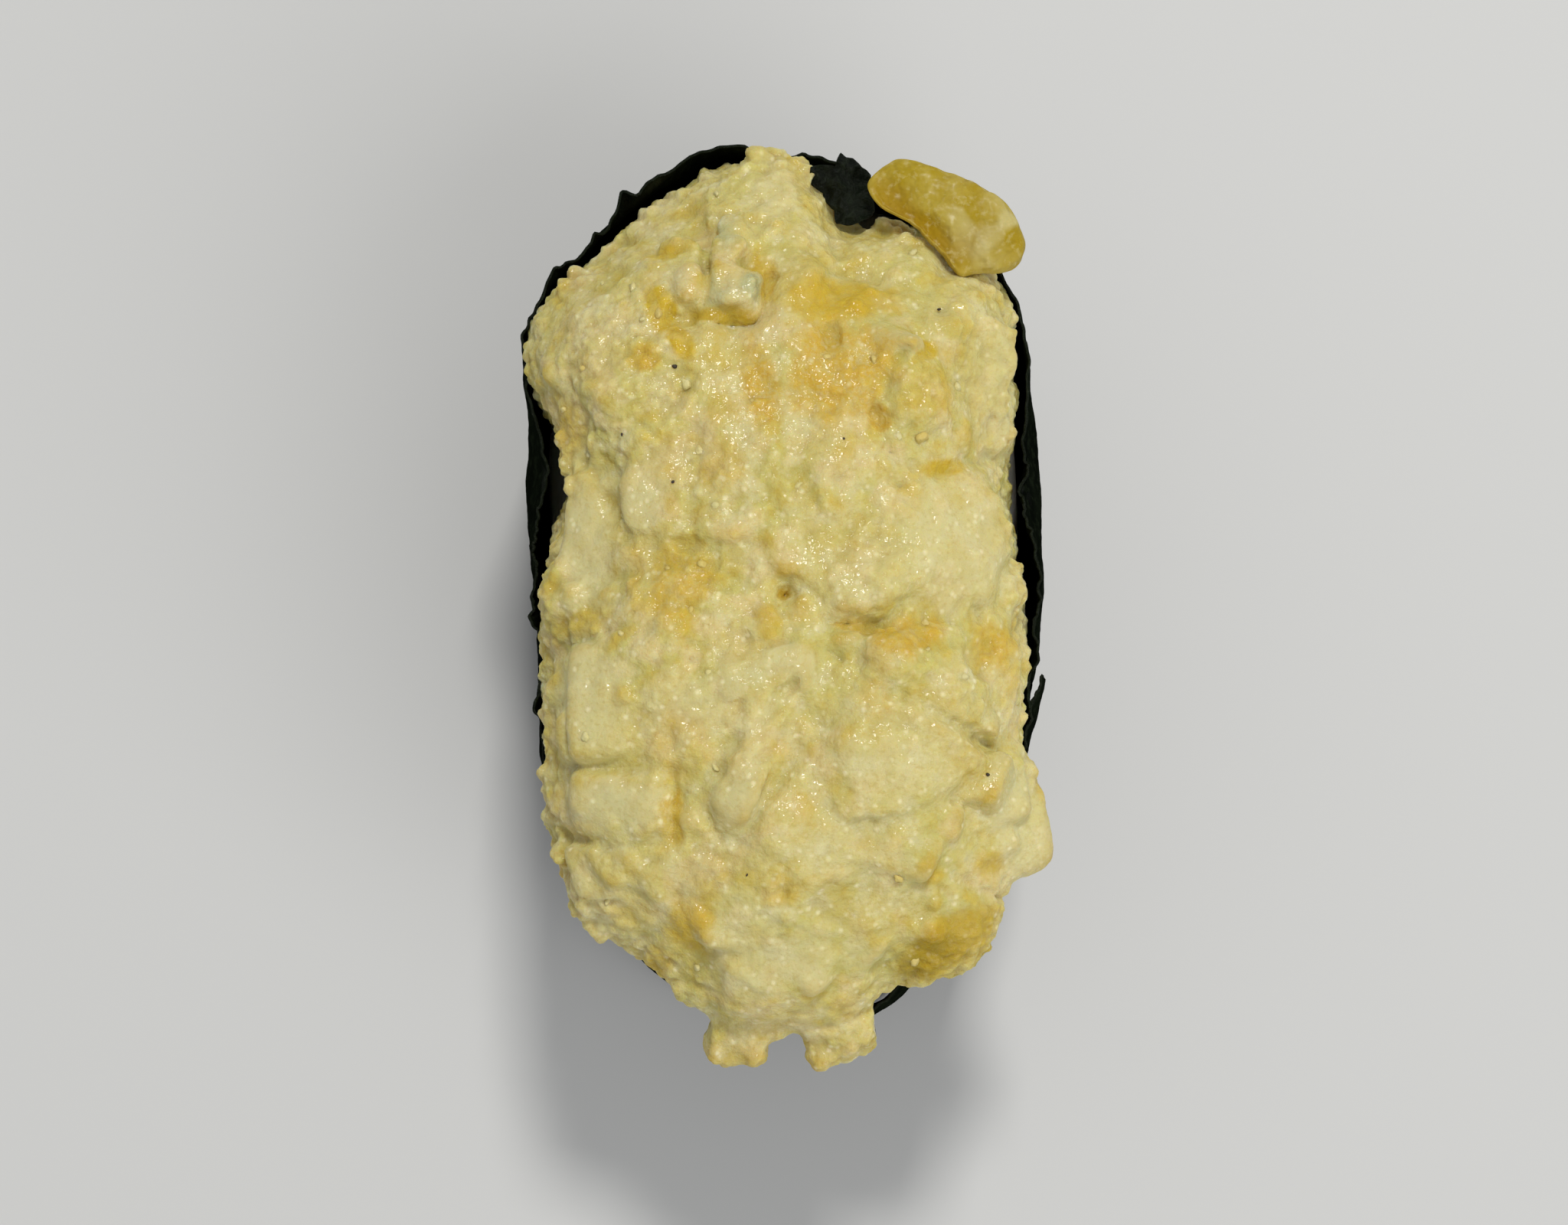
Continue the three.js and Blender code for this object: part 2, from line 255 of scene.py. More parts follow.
# Radius of the heap's rim on the plan, every five degrees from +X round
# towards +Y. It dips at the waists and behind the torn tab of seaweed.
RIM = [
    13.7, 13.6, 13.6, 13.5, 13.4, 13.8, 14.7, 16.0, 17.3, 18.8, 20.4, 21.6,
    21.8, 21.7, 21.5, 21.1, 21.2, 23.6, 24.7, 24.4, 24.2, 23.7, 23.1, 22.4,
    21.8, 21.9, 21.6, 21.0, 19.8, 17.4, 14.4, 13.5, 13.3, 13.7, 13.8, 13.6,
    13.5, 13.8, 14.2, 14.6, 14.8, 15.5, 16.4, 16.9, 17.9, 19.1, 20.4, 21.6,
    22.2, 22.6, 23.2, 24.0, 24.7, 25.2, 25.4, 25.4, 25.0, 23.9, 24.6, 24.9,
    24.1, 22.2, 20.7, 19.5, 18.1, 16.7, 15.8, 15.4, 14.8, 14.4, 13.9, 13.7,
]  # fmt: skip


def rim(theta):
    """The heap's rim, smooth between the listed radii."""
    t = np.mod(theta, 2 * np.pi) / (2 * np.pi) * 72
    i = np.floor(t).astype(int)
    f = t - i
    r = np.array(RIM)
    p0, p1, p2, p3 = (r[(i + k) % 72] for k in (-1, 0, 1, 2))
    return p1 + 0.5 * f * (
        p2 - p0 + f * (2 * p0 - 5 * p1 + 4 * p2 - p3 + f * (3 * (p1 - p2) + p3 - p0))
    )


def wall_lean(theta):
    """How far the seaweed's upper edge stands out of the plan, or in from it."""
    return (
        1.1 * bump(theta, 98, 7)
        - 1.0 * bump(theta, 113, 10)
        - 0.3 * bump(theta, 123, 4)
        + 0.3 * bump(theta, 130, 5)
        + 1.3 * bump(theta, 139, 7)
        - 1.5 * bump(theta, 154, 12)
        - 1.1 * bump(theta, 24, 14)
        - 1.8 * bump(theta, 73, 9)
        - 0.9 * bump(theta, 293, 8)
    )


def wall_radius(theta, z):
    """Outer face of the seaweed, which hugs the rice closely at the near end."""
    near = bump(theta, 270, 50)
    return (
        plan_radius(theta)
        + belly(z) * (1 - 0.85 * near)
        - 1.2 * bump(theta, 249, 17)
        - 1.4 * bump(theta, 294, 9)
        - 0.4 * near
        + wall_lean(theta) * smoothstep(z, 19.5, 28.5)
    )


def droop(theta):
    return 1.5 + 0.7 * np.sin(3 * theta + 1.2) + 0.5 * np.sin(8 * theta + 0.5)


def heap_top(x, y):
    theta = np.arctan2(y, x)
    share = np.minimum(1.0, np.hypot(x, y) / rim(theta))
    return WALL_HEIGHT + HEAP_EDGE + HEAP_RISE * (1 - share**HEAP_POWER)


# The viewpoint, in the working frame. The tables below give places as they are
# seen from it, so that each can be put where it belongs on the heap.
ELEVATION = 83.0
DISTANCE = 200.0
TARGET = (0.0, -1.7, 27.0)


def seen(x, y, z):
    """Plan place, at height z, of what is seen x, y from the middle."""
    e = math.radians(ELEVATION)
    h = z - TARGET[2]
    s = (y - TARGET[1]) / DISTANCE
    far = (s * (DISTANCE - h * math.sin(e)) - h * math.cos(e)) / (
        math.sin(e) - s * math.cos(e)
    )
    depth = DISTANCE + far * math.cos(e) - h * math.sin(e)
    return x * depth / DISTANCE, far + TARGET[1]


def on_heap(x, y, height):
    """Plan place and height, on a height function, of what is seen at x, y."""
    z = 32.0
    for _ in range(5):
        px, py = seen(x, y, z)
        z = float(height(np.array([px]), np.array([py]))[0])
    return px, py, z


# ------------------------------------------------------------------ the heap
# Broad swells: place, how far each stands out, half sizes, turn, squareness.
SWELLS = [
    (-8.6, 13.4, 0.9, 5.4, 5.6, 20, 2.4),
    (3.4, 13.2, 0.5, 5.0, 4.6, 0, 2.6),
    (7.9, 10.0, 0.8, 2.8, 2.8, 0, 2.0),
    (10.6, 14.2, 0.9, 3.0, 4.8, -8, 2.2),
    (6.8, 18.4, 0.5, 4.6, 3.0, -20, 2.2),
    (0.4, 5.2, 0.6, 4.6, 4.4, 0, 2.2),
    (-9.0, -5.4, 0.7, 4.4, 4.6, 0, 3.0),
    (7.2, -8.2, 0.7, 5.2, 4.8, 30, 2.4),
    (1.6, -16.2, 0.45, 7.0, 6.4, 0, 2.2),
    (-8.2, -16.8, 0.6, 4.6, 4.0, 20, 2.4),
]
# Soft lumps of the mix: place, stand-out, half sizes, turn, squareness.
LUMPS = [
    (-0.1, 22.6, 0.3, 1.8, 2.4, 1.8, 6, 3.0),
    (-8.4, 14.6, 0.25, 4.4, 3.6, 2.6, 28, 3.6),
    (7.8, 10.9, 0.45, 1.8, 2.1, 1.9, 0, 3.0),
    (6.0, 18.6, 0.4, 3.0, 1.8, 2.0, -18, 3.4),
    (-11.6, 8.6, 0.3, 2.0, 1.9, 1.8, 0, 3.2),
    (11.6, -5.0, 0.35, 2.4, 3.6, 2.6, 0, 3.6),
    (9.4, 3.2, 0.55, 4.0, 3.4, 3.0, 32, 4.0),
    (8.6, 0.2, 0.5, 4.4, 2.0, 2.6, 6, 4.0),
    (4.6, 0.2, 0.6, 2.3, 2.4, 2.3, 18, 4.0),
    (8.6, -4.9, 0.6, 3.8, 1.7, 2.0, -22, 3.4),
    (7.4, -9.8, 0.25, 4.4, 3.0, 2.8, 24, 4.0),
    (-1.1, -7.8, 0.5, 1.3, 3.7, 2.2, -31, 3.6),
    (3.8, -14.6, -0.25, 3.4, 2.8, 2.6, 14, 2.6),
    (-3.0, -18.2, 0.2, 3.2, 2.6, 2.4, -12, 3.8),
    (5.6, -19.0, 0.1, 2.6, 2.4, 2.2, 0, 2.6),
    (-1.2, -22.2, 0.45, 2.8, 2.8, 2.6, 10, 3.4),
    (-3.3, -26.3, -1.0, 1.2, 1.5, 1.6, -16, 3.4),
    (-1.9, -26.6, -0.7, 1.0, 1.1, 1.4, 24, 3.2),
    (-2.2, -25.2, -0.4, 1.9, 1.3, 1.6, 0, 3.0),
    (-0.9, -25.3, -0.6, 1.1, 1.2, 1.5, 10, 3.0),
    (2.4, -26.6, -1.2, 1.4, 1.0, 1.4, 30, 3.4),
    (3.3, -25.5, -0.5, 1.2, 1.1, 1.5, -20, 3.2),
    (1.9, -25.4, -0.8, 1.1, 1.2, 1.5, 10, 3.0),
    (4.2, -25.3, -0.7, 1.2, 1.4, 1.6, 16, 3.4),
    (13.0, -9.0, 0.0, 1.3, 2.4, 2.0, 8, 3.2),
    (13.2, -13.5, 0.45, 2.2, 3.3, 2.6, 14, 6.0),
    (11.2, -17.8, 0.2, 1.6, 1.4, 1.8, 30, 3.2),
    (9.6, -20.4, 0.35, 2.7, 1.6, 1.9, 27, 2.8),
    (8.4, -22.0, -0.1, 2.0, 1.2, 1.9, 20, 3.0),
    (11.6, -19.2, 0.3, 1.4, 1.1, 1.6, 40, 2.8),
]
# Cut pieces of white: the same, with how far each leans to the right and away.
WHITES = [
    (10.4, 4.1, 0.75, 2.6, 2.0, 2.0, 30, 5, -4),
    (4.3, -0.4, 0.75, 1.7, 1.6, 1.7, 16, -3, -5),
    (11.0, 0.6, 0.65, 2.0, 2.0, 2.0, 6, 6, 0),
    (1.3, 2.2, 0.35, 2.2, 2.3, 1.8, -10, 4, 6),
    (-7.6, 4.6, 0.8, 1.9, 2.2, 1.8, 8, 6, -3),
    (-11.4, 2.6, 0.8, 1.6, 4.4, 2.4, 5, -6, 0),
    (-10.3, -6.9, 0.5, 2.5, 3.5, 2.4, -3, -2, -3),
    (-9.7, -12.25, 0.8, 3.2, 2.0, 2.0, -2, -1, -4),
    (-0.9, -5.0, 0.5, 3.0, 1.35, 1.6, 20, -2, 8),
    (-2.7, -11.8, 0.9, 1.3, 2.5, 2.0, -14, -4, -2),
    (-12.0, 12.6, 0.3, 1.7, 2.4, 2.0, 10, -6, 0),
    (-9.4, 11.2, 0.3, 1.9, 1.5, 1.6, 34, 4, 2),
    (-11.0, -16.6, 0.7, 2.0, 1.8, 2.0, 14, -6, -6),
    (-11.2, -19.6, 0.5, 1.6, 1.7, 1.8, 14, -4, -8),
    (12.6, -11.2, 0.6, 1.7, 2.5, 2.2, 4, 8, 0),
    (11.9, 12.2, 0.5, 1.8, 2.7, 2.0, -4, 8, 2),
    (12.0, 8.6, 0.4, 1.7, 1.7, 1.8, 10, 8, 0),
    (0.6, -21.6, 0.35, 2.6, 1.7, 1.8, 8, 2, -8),
    (3.9, -3.1, 0.45, 1.2, 0.7, 0.9, -12, 0, 0),
    (7.6, -7.0, 0.5, 3.2, 1.4, 1.6, -24, 2, 6),
    (10.9, -12.6, 0.35, 1.7, 1.9, 1.7, 30, 3, -2),
    (-5.6, -13.2, 0.3, 1.2, 1.4, 1.3, 20, -4, 4),
    (4.6, -12.0, 0.4, 2.2, 1.5, 1.6, 16, -4, 2),
    (0.8, -14.4, 0.35, 1.9, 1.6, 1.6, -30, 3, -4),
    (-6.4, -17.2, 0.4, 2.1, 1.6, 1.6, 24, 0, -6),
    (6.6, -15.2, 0.2, 2.3, 1.5, 1.7, -14, 4, -3),
    (2.2, 7.4, 0.3, 1.9, 1.5, 1.5, 20, -4, 4),
    (-3.4, 8.0, 0.25, 1.5, 1.9, 1.5, -8, 3, -3),
    (-4.2, 4.2, 0.3, 1.3, 1.7, 1.4, 14, -5, 2),
    (8.8, 14.6, 0.35, 1.2, 1.4, 1.3, 24, 3, 6),
    (-7.0, 20.1, 0.15, 1.4, 0.9, 1.2, 12, -2, 8),
    (0.3, 19.7, 0.15, 1.2, 1.3, 1.2, 0, 2, 6),
]
# Clear, slightly grey pieces of white near the far end.
CLEARS = [
    (-2.8, 16.6, 1.25, 1.7, 1.6, 1.4, -8, 4, -6),
    (-4.0, 17.3, 1.6, 0.8, 0.75, 0.8, 22, -10, 8),
    (-2.0, 16.5, 1.55, 0.75, 1.0, 0.9, -30, 14, -4),
    (-2.9, 15.8, 1.5, 0.9, 0.5, 0.7, 12, 4, -16),
    (-2.9, 17.0, 1.75, 0.5, 0.45, 0.5, 40, 10, 10),
    (-5.2, 16.9, 1.2, 1.1, 1.4, 1.2, 12, -8, 0),
    (-3.2, 18.9, 1.4, 1.1, 1.0, 0.9, -12, 0, 6),
    (-3.0, 20.3, 1.1, 0.9, 1.0, 0.9, 4, 0, 8),
    (6.4, 20.2, 0.9, 1.4, 0.8, 1.0, -28, 0, 8),
    (-13.2, -8.0, 0.1, 0.9, 3.0, 1.8, -2, -10, 0),
]
# Cut pieces of yolk.
YOLKS = [
    (3.4, 16.2, 0.12, 3.1, 1.5, 1.4, 2, 0, 4),
    (8.5, -21.2, 0.25, 1.7, 0.9, 1.3, 20, 2, 0),
    (-0.95, -2.4, 0.35, 0.75, 1.0, 0.9, 0, 0, 0),
    (8.0, 13.1, 0.12, 0.8, 0.5, 0.6, 0, 0, 0),
    (-7.0, 15.4, 0.2, 0.8, 1.4, 0.9, 18, 0, 0),
    (-5.8, 13.7, 0.12, 0.7, 1.1, 0.9, 30, 0, 0),
    (-5.2, -19.4, 0.25, 1.1, 1.0, 1.0, 20, 0, 0),
]
# Grooves between lumps: points of a line, half width, depth.
CREASES = [
    ([(5.8, 7.6), (7.6, 6.4), (8.3, 5.9), (10.2, 6.9), (11.6, 7.2)], 0.34, 0.5),
    ([(2.6, -2.2), (4.6, -2.4), (6.2, -1.8), (7.2, -0.9)], 0.34, 0.8),
    ([(2.4, -3.9), (3.8, -4.5), (5.1, -4.5)], 0.25, 0.45),
    ([(6.0, -6.3), (7.6, -6.9), (9.2, -7.9), (10.5, -8.4), (11.5, -9.2)], 0.36, 0.75),
    ([(-0.8, 0.5), (0.0, -0.3), (1.8, -0.7)], 0.24, 0.6),
    ([(0.0, -0.4), (0.0, -1.8)], 0.2, 0.5),
    ([(-6.1, 2.3), (-4.7, 2.0), (-3.9, 1.8), (-4.0, 1.1)], 0.26, 0.6),
    ([(-6.2, 15.1), (-4.9, 14.8), (-3.2, 14.7), (-1.6, 14.9), (-1.0, 15.8), (-0.9, 17.4)], 0.36, 0.9),
    ([(-4.8, 20.2), (-4.7, 18.2)], 0.25, 0.45),
    ([(-4.2, 17.9), (-4.2, 16.6), (-4.5, 15.6)], 0.2, 0.5),
    ([(-7.9, 18.7), (-6.8, 18.4), (-5.8, 18.7)], 0.3, 0.45),
    ([(-9.9, 5.4), (-9.5, 2.6)], 0.24, 0.2),
    ([(-5.4, 6.8), (-5.2, 3.4)], 0.24, 0.3),
    ([(5.8, 10.2), (6.0, 11.8), (6.8, 12.9)], 0.26, 0.5),
    ([(4.8, 10.0), (5.6, 8.9)], 0.28, 0.5),
    ([(-13.0, -4.0), (-11.6, -3.2), (-9.4, -2.6)], 0.24, 0.35),
    ([(-12.6, -10.4), (-9.6, -10.9), (-7.9, -10.3)], 0.26, 0.2),
    ([(-6.3, -10.6), (-5.9, -12.6), (-6.5, -14.4)], 0.32, 0.7),
    ([(-4.4, -13.2), (-3.8, -14.6), (-2.4, -14.8), (-1.4, -13.6)], 0.32, 0.7),
    ([(-1.3, -13.3), (-0.4, -11.6), (0.9, -9.5)], 0.36, 0.6),
    ([(0.5, -5.8), (-1.2, -7.4), (-3.0, -9.4)], 0.34, 0.6),
    ([(-12.6, -14.4), (-10.0, -14.9), (-7.2, -14.8)], 0.28, 0.5),
    ([(9.4, -16.6), (11.0, -17.6), (12.2, -17.8)], 0.34, 0.6),
    ([(-7.0, -19.6), (-8.6, -20.4)], 0.28, 0.4),
    ([(-12.2, 13.0), (-12.3, 11.4)], 0.2, 0.35),
    ([(-9.6, 8.2), (-8.2, 8.9), (-7.0, 8.0)], 0.24, 0.35),
]
PITS = [
    (-0.05, -0.55, 0.46, 1.6),
    (6.6, 5.5, 0.34, 0.8),
    (11.0, -2.0, 0.34, 0.8),
    (-10.1, -2.8, 0.32, 0.7),
    (-5.4, -4.3, 0.32, 0.7),
    (8.8, 15.6, 0.32, 0.6),
    (-5.2, 15.1, 0.45, 0.7),
    (0.0, -17.6, 0.36, 0.7),
]
# Colour patches: middle, half sizes, turn, and how much gold, orange and
# granular crumb each shows. Rows marked below are painted shade, golden where
# shade falls.
PATCHES = [
    (3.0, 16.0, 3.6, 1.7, 2, 1.05, 0.15, 0.3),
    (3.2, 12.3, 3.3, 3.0, 8, 0.45, 0.75, 1.0),
    (-1.4, 11.2, 1.2, 2.7, 0, 0.35, 0.75, 1.0),
    (-7.0, 15.5, 0.9, 1.5, 16, 1.35, 0.0, 0.1),
    (-5.9, 13.8, 0.75, 1.3, 28, 1.35, 0.1, 0.1),
    (-8.0, 12.7, 1.0, 0.9, 30, 0.5, 0.8, 0.4),
    (-6.8, 18.5, 1.5, 0.5, 8, 0.8, 0.2, 0.2),
    # painted shade: golden round the clear crumb, to its right and under it, this row and the next
    (-1.2, 17.2, 0.8, 2.1, 4, 0.75, 0.35, 0.1),
    (-3.6, 15.1, 2.3, 0.5, 0, 1.0, 0.2, 0.1),
    (8.0, 13.2, 0.9, 0.6, 0, 1.1, 0.1, 0.4),
    (8.2, 11.0, 1.7, 2.0, 0, 0.35, 0.1, 0.0),
    # painted shade: golden in the creases here, this row and the next
    (9.0, 6.5, 1.4, 0.55, 10, 1.0, 0.15, 0.0),
    (4.0, -2.4, 1.6, 0.4, -6, 0.7, 0.4, 0.0),
    (5.4, 9.4, 0.7, 1.0, 30, 0.4, 0.9, 0.5),
    (-6.0, -0.2, 2.0, 2.8, -12, 0.6, 0.3, 0.7),
    (-11.4, -2.3, 1.7, 0.9, 12, 0.6, 0.0, 0.4),
    (-0.9, -2.3, 0.8, 1.2, 0, 0.6, 0.0, 0.2),
    (7.0, -2.9, 2.0, 1.5, 16, 0.45, 0.8, 0.8),
    (11.9, -3.7, 1.1, 1.5, -6, 0.6, 0.5, 0.6),
    (5.2, -6.6, 1.0, 1.4, 0, 0.1, 0.3, 0.4),
    # painted shade: orange-brown in the deep pit
    (-0.05, -0.6, 0.5, 0.55, 0, 0.9, 0.8, 0.0),
    (-5.2, -19.6, 1.6, 1.6, 0, 0.75, 0.3, 0.4),
    (-7.2, -21.6, 1.0, 1.0, 0, 0.4, 0.5, 0.4),
    (9.7, -20.5, 3.2, 1.6, 27, 0.85, 0.0, 0.2),
    # painted shade: golden on the lower sides of the two drips, this row and the next
    (2.4, -26.8, 1.0, 0.6, 20, 0.25, 0.0, 0.1),
    (-2.8, -26.8, 1.0, 0.6, 0, 0.2, 0.0, 0.1),
    (-6.4, -13.4, 0.8, 1.6, 0, 0.3, 0.4, 0.5),
    (-12.4, 8.0, 1.0, 1.6, 0, 0.3, 0.1, 0.4),
    (-0.2, -17.5, 1.3, 1.0, 0, 0.45, 0.15, 0.4),
    (11.6, -16.0, 1.0, 0.9, 0, 0.75, 0.15, 0.1),
    (8.2, -16.4, 0.9, 0.8, 0, 0.5, 0.1, 0.3),
    (3.4, -24.0, 1.2, 0.8, 20, 0.4, 0.1, 0.3),
    # painted shade: golden-brown in the gap at the right of the lower left block
    (-6.1, -13.3, 0.45, 1.6, 0, 0.9, 0.5, 0.1),
    (-5.8, -9.6, 1.9, 1.8, 0, 0.28, 0.0, 0.2),
    (-3.6, 6.6, 1.4, 1.8, 0, 0.3, 0.1, 0.4),
]

# Deep golden spots, where yolk shows through a clear film, and one of painted
# shade in the hollow under the clear crumb: middle, half sizes, turn, strength.
AMBERS = [
    (8.4, -21.1, 2.4, 1.25, 20, 1.0),
    (10.5, -19.5, 2.2, 1.2, 24, 0.5),
    # painted shade in the hollow under the clear crumb
    (-3.8, 15.2, 2.0, 0.5, -4, 0.55),
]

# Smooth pale areas, mostly cut white under a thin coat: middle, half sizes,
# turn, strength.
PALES = [
    (0.4, 10.2, 0.6, 2.6, 0, 0.6),
    (-11.0, -6.6, 2.2, 3.4, 0, 0.9),
    (-9.4, -12.6, 3.4, 1.7, 0, 0.9),
    (-2.6, -11.6, 1.9, 3.0, -12, 0.8),
    (-1.8, -20.8, 2.6, 3.6, 0, 0.6),
    (6.6, -17.8, 1.4, 0.9, 0, 0.5),
    (4.0, -21.2, 1.3, 1.2, 0, 0.5),
    (-0.6, -4.5, 2.6, 1.1, 14, 0.8),
    (9.8, 2.0, 3.8, 3.8, 15, 0.75),
    (5.0, 0.4, 2.8, 2.3, 20, 0.6),
    (-11.2, 2.4, 1.7, 4.6, 5, 0.85),
    (7.2, -9.8, 4.2, 3.0, 20, 0.45),
    (13.4, -14.0, 2.2, 3.0, 0, 0.9),
    (-9.6, 13.2, 3.4, 3.8, 0, 0.2),
    (12.0, 11.4, 1.7, 4.6, 0, 0.6),
    (0.5, -21.2, 2.8, 1.7, 0, 0.7),
    (-11.0, -19.4, 2.0, 1.9, 0, 0.8),
    (-4.6, -6.6, 2.6, 1.6, -20, 0.6),
    (-1.1, -7.6, 1.3, 3.4, -31, 0.6),
    (3.2, -15.0, 3.4, 2.4, 0, 0.5),
    (-8.2, 4.9, 1.9, 2.0, 0, 0.6),
    (-0.4, 22.4, 1.6, 2.4, 0, 0.6),
    (-3.0, 16.6, 1.6, 1.3, 0, 0.6),
]
# Where the curds are coarse and crowded: middle, half sizes, strength.
CURDS = [
    (-9.0, 12.0, 5.6, 6.6, 0.9),
    (12.0, 13.0, 2.8, 5.6, 0.9),
    (-4.0, 20.6, 6.6, 2.6, 0.8),
    (3.4, 20.0, 3.4, 2.4, 0.8),
    (-2.0, 6.6, 4.0, 4.0, 0.5),
    (-4.0, -0.4, 4.6, 3.0, 0.7),
    (2.2, -3.6, 3.0, 2.4, 0.5),
    (10.8, -6.4, 3.4, 4.0, 0.4),
    (-2.0, -18.4, 5.2, 3.6, 0.5),
    (8.6, -17.4, 4.4, 2.8, 0.5),
    (0.2, -24.0, 5.4, 1.6, 0.4),
]


def skin(x, y):
    """Height of the heap's skin before its lumps are added."""
    lift = np.zeros_like(x)
    for cx, cy, proud, rx, ry, turn, power in SWELLS:
        c, s = math.cos(math.radians(turn)), math.sin(math.radians(turn))
        u = np.abs(((x - cx) * c + (y - cy) * s) / rx)
        v = np.abs(((y - cy) * c - (x - cx) * s) / ry)
        q = 1 - (u**power + v**power)
        lift = np.maximum(lift, proud * np.clip(q, 0, 1) ** 0.7)
    return heap_top(x, y) + lift


def slope_lean(x, y):
    """Turns a block's top most of the way to how the skin slopes there."""
    e = 0.7
    px, py = np.array([x + e, x - e, x, x]), np.array([y, y, y + e, y - e])
    h = skin(px, py)
    gx, gy = (h[0] - h[1]) / (2 * e), (h[2] - h[3]) / (2 * e)
    steep = math.hypot(gx, gy)
    if steep < 1e-6:
        return np.eye(3)
    a = min(0.75 * math.atan(steep), math.radians(24))
    ux, uy = gy / steep, -gx / steep
    c, s = math.cos(a), math.sin(a)
    return np.array(
        [
            [c + ux * ux * (1 - c), ux * uy * (1 - c), uy * s],
            [ux * uy * (1 - c), c + uy * uy * (1 - c), -ux * s],
            [-uy * s, ux * s, c],
        ]
    )


class Field:
    """Signed distance to the heap on a grid, one layer for each stuff."""

    LOW = (-17.0, -29.6, 23.6)
    HIGH = (17.6, 26.6, 38.4)

    def __init__(self, h):
        self.h = h
        self.n = [int(math.ceil((b - a) / h)) + 1 for a, b in zip(self.LOW, self.HIGH)]
        self.axes = [a + h * np.arange(n) for a, n in zip(self.LOW, self.n)]
        self.layer = {}

    def window(self, centre, reach):
        """Index slices round a point, and the offsets from it, or nothing."""
        lo = [max(0, int((c - reach - a) / self.h)) for c, a in zip(centre, self.LOW)]
        hi = [
            min(n, int((c + reach - a) / self.h) + 2)
            for c, a, n in zip(centre, self.LOW, self.n)
        ]
        if any(b <= a for a, b in zip(lo, hi)):
            return None, None
        part = tuple(slice(a, b) for a, b in zip(lo, hi))
        offsets = np.meshgrid(
            *[(ax[s] - c).astype(np.float32) for ax, s, c in zip(self.axes, part, centre)],
            indexing="ij",
        )
        return part, offsets

    def round_block(self, stuff, centre, half, turn, power, k):
        """Joins a rounded block to a layer."""
        part, offsets = self.window(centre, max(half) * 1.7 + k + self.h)
        if part is None:
            return
        gx, gy, gz = offsets
        q = 0
        for axis in range(3):
            a = gx * turn[0, axis] + gy * turn[1, axis] + gz * turn[2, axis]
            q = q + np.abs(a / half[axis]) ** power
        q = np.maximum(q ** (1 / power), 1e-3)
        away = np.sqrt(gx * gx + gy * gy + gz * gz)
        d = np.maximum(away * (1 - 1 / q), -min(half)).astype(np.float32)
        self.layer[stuff][part] = smin(self.layer[stuff][part], d, k)

    def cut_block(self, stuff, centre, half, turn, draw, edge=0.22, k=0.2):
        """Joins a knife-cut block: six tilted faces and a few cut corners."""
        part, offsets = self.window(centre, max(half) * 1.6 + k + self.h)
        if part is None:
            return
        gx, gy, gz = offsets
        local = [gx * turn[0, a] + gy * turn[1, a] + gz * turn[2, a] for a in range(3)]
        faces = []
        for axis in range(3):
            for side in (-1, 1):
                n = np.array([0.0, 0.0, 0.0])
                n[axis] = side
                n += draw.uniform(-0.2, 0.2, 3)
                faces.append((n / np.linalg.norm(n), half[axis] * draw.uniform(0.92, 1.0)))
        for _ in range(4):
            n = draw.choice([-1.0, 1.0], 3) * draw.uniform(0.4, 1.0, 3)
            n[int(draw.integers(3))] *= 0.3
            n /= np.linalg.norm(n)
            faces.append((n, float(np.abs(n) @ np.array(half)) * draw.uniform(0.72, 0.9)))
        total = 0
        for n, off in faces:
            d = local[0] * n[0] + local[1] * n[1] + local[2] * n[2] - off
            total = total + np.exp(np.clip(d / edge, -40, 40))
        d = (edge * np.log(total)).astype(np.float32)
        self.layer[stuff][part] = smin(self.layer[stuff][part], d, k)

    def sample(self, grid, pts):
        q = [(pts[:, a] - self.LOW[a]) / self.h for a in range(3)]
        i = [np.clip(np.floor(c).astype(int), 0, n - 2) for c, n in zip(q, self.n)]
        t = [np.clip(c - b, 0, 1) for c, b in zip(q, i)]
        out = np.zeros(len(pts))
        for dx in (0, 1):
            for dy in (0, 1):
                for dz in (0, 1):
                    w = (
                        (t[0] if dx else 1 - t[0])
                        * (t[1] if dy else 1 - t[1])
                        * (t[2] if dz else 1 - t[2])
                    )
                    out += w * grid[i[0] + dx, i[1] + dy, i[2] + dz]
        return out


def box_blur(g, r):
    """Running mean over 2r+1 steps along each axis."""
    for axis in range(3):
        pad = [(0, 0)] * 3
        pad[axis] = (r + 1, r)
        c = np.cumsum(np.pad(g, pad, mode="edge"), axis=axis, dtype=np.float64)
        n = g.shape[axis]
        hi = np.take(c, np.arange(2 * r + 1, 2 * r + 1 + n), axis=axis)
        lo = np.take(c, np.arange(0, n), axis=axis)
        g = ((hi - lo) / (2 * r + 1)).astype(np.float32)
    return g


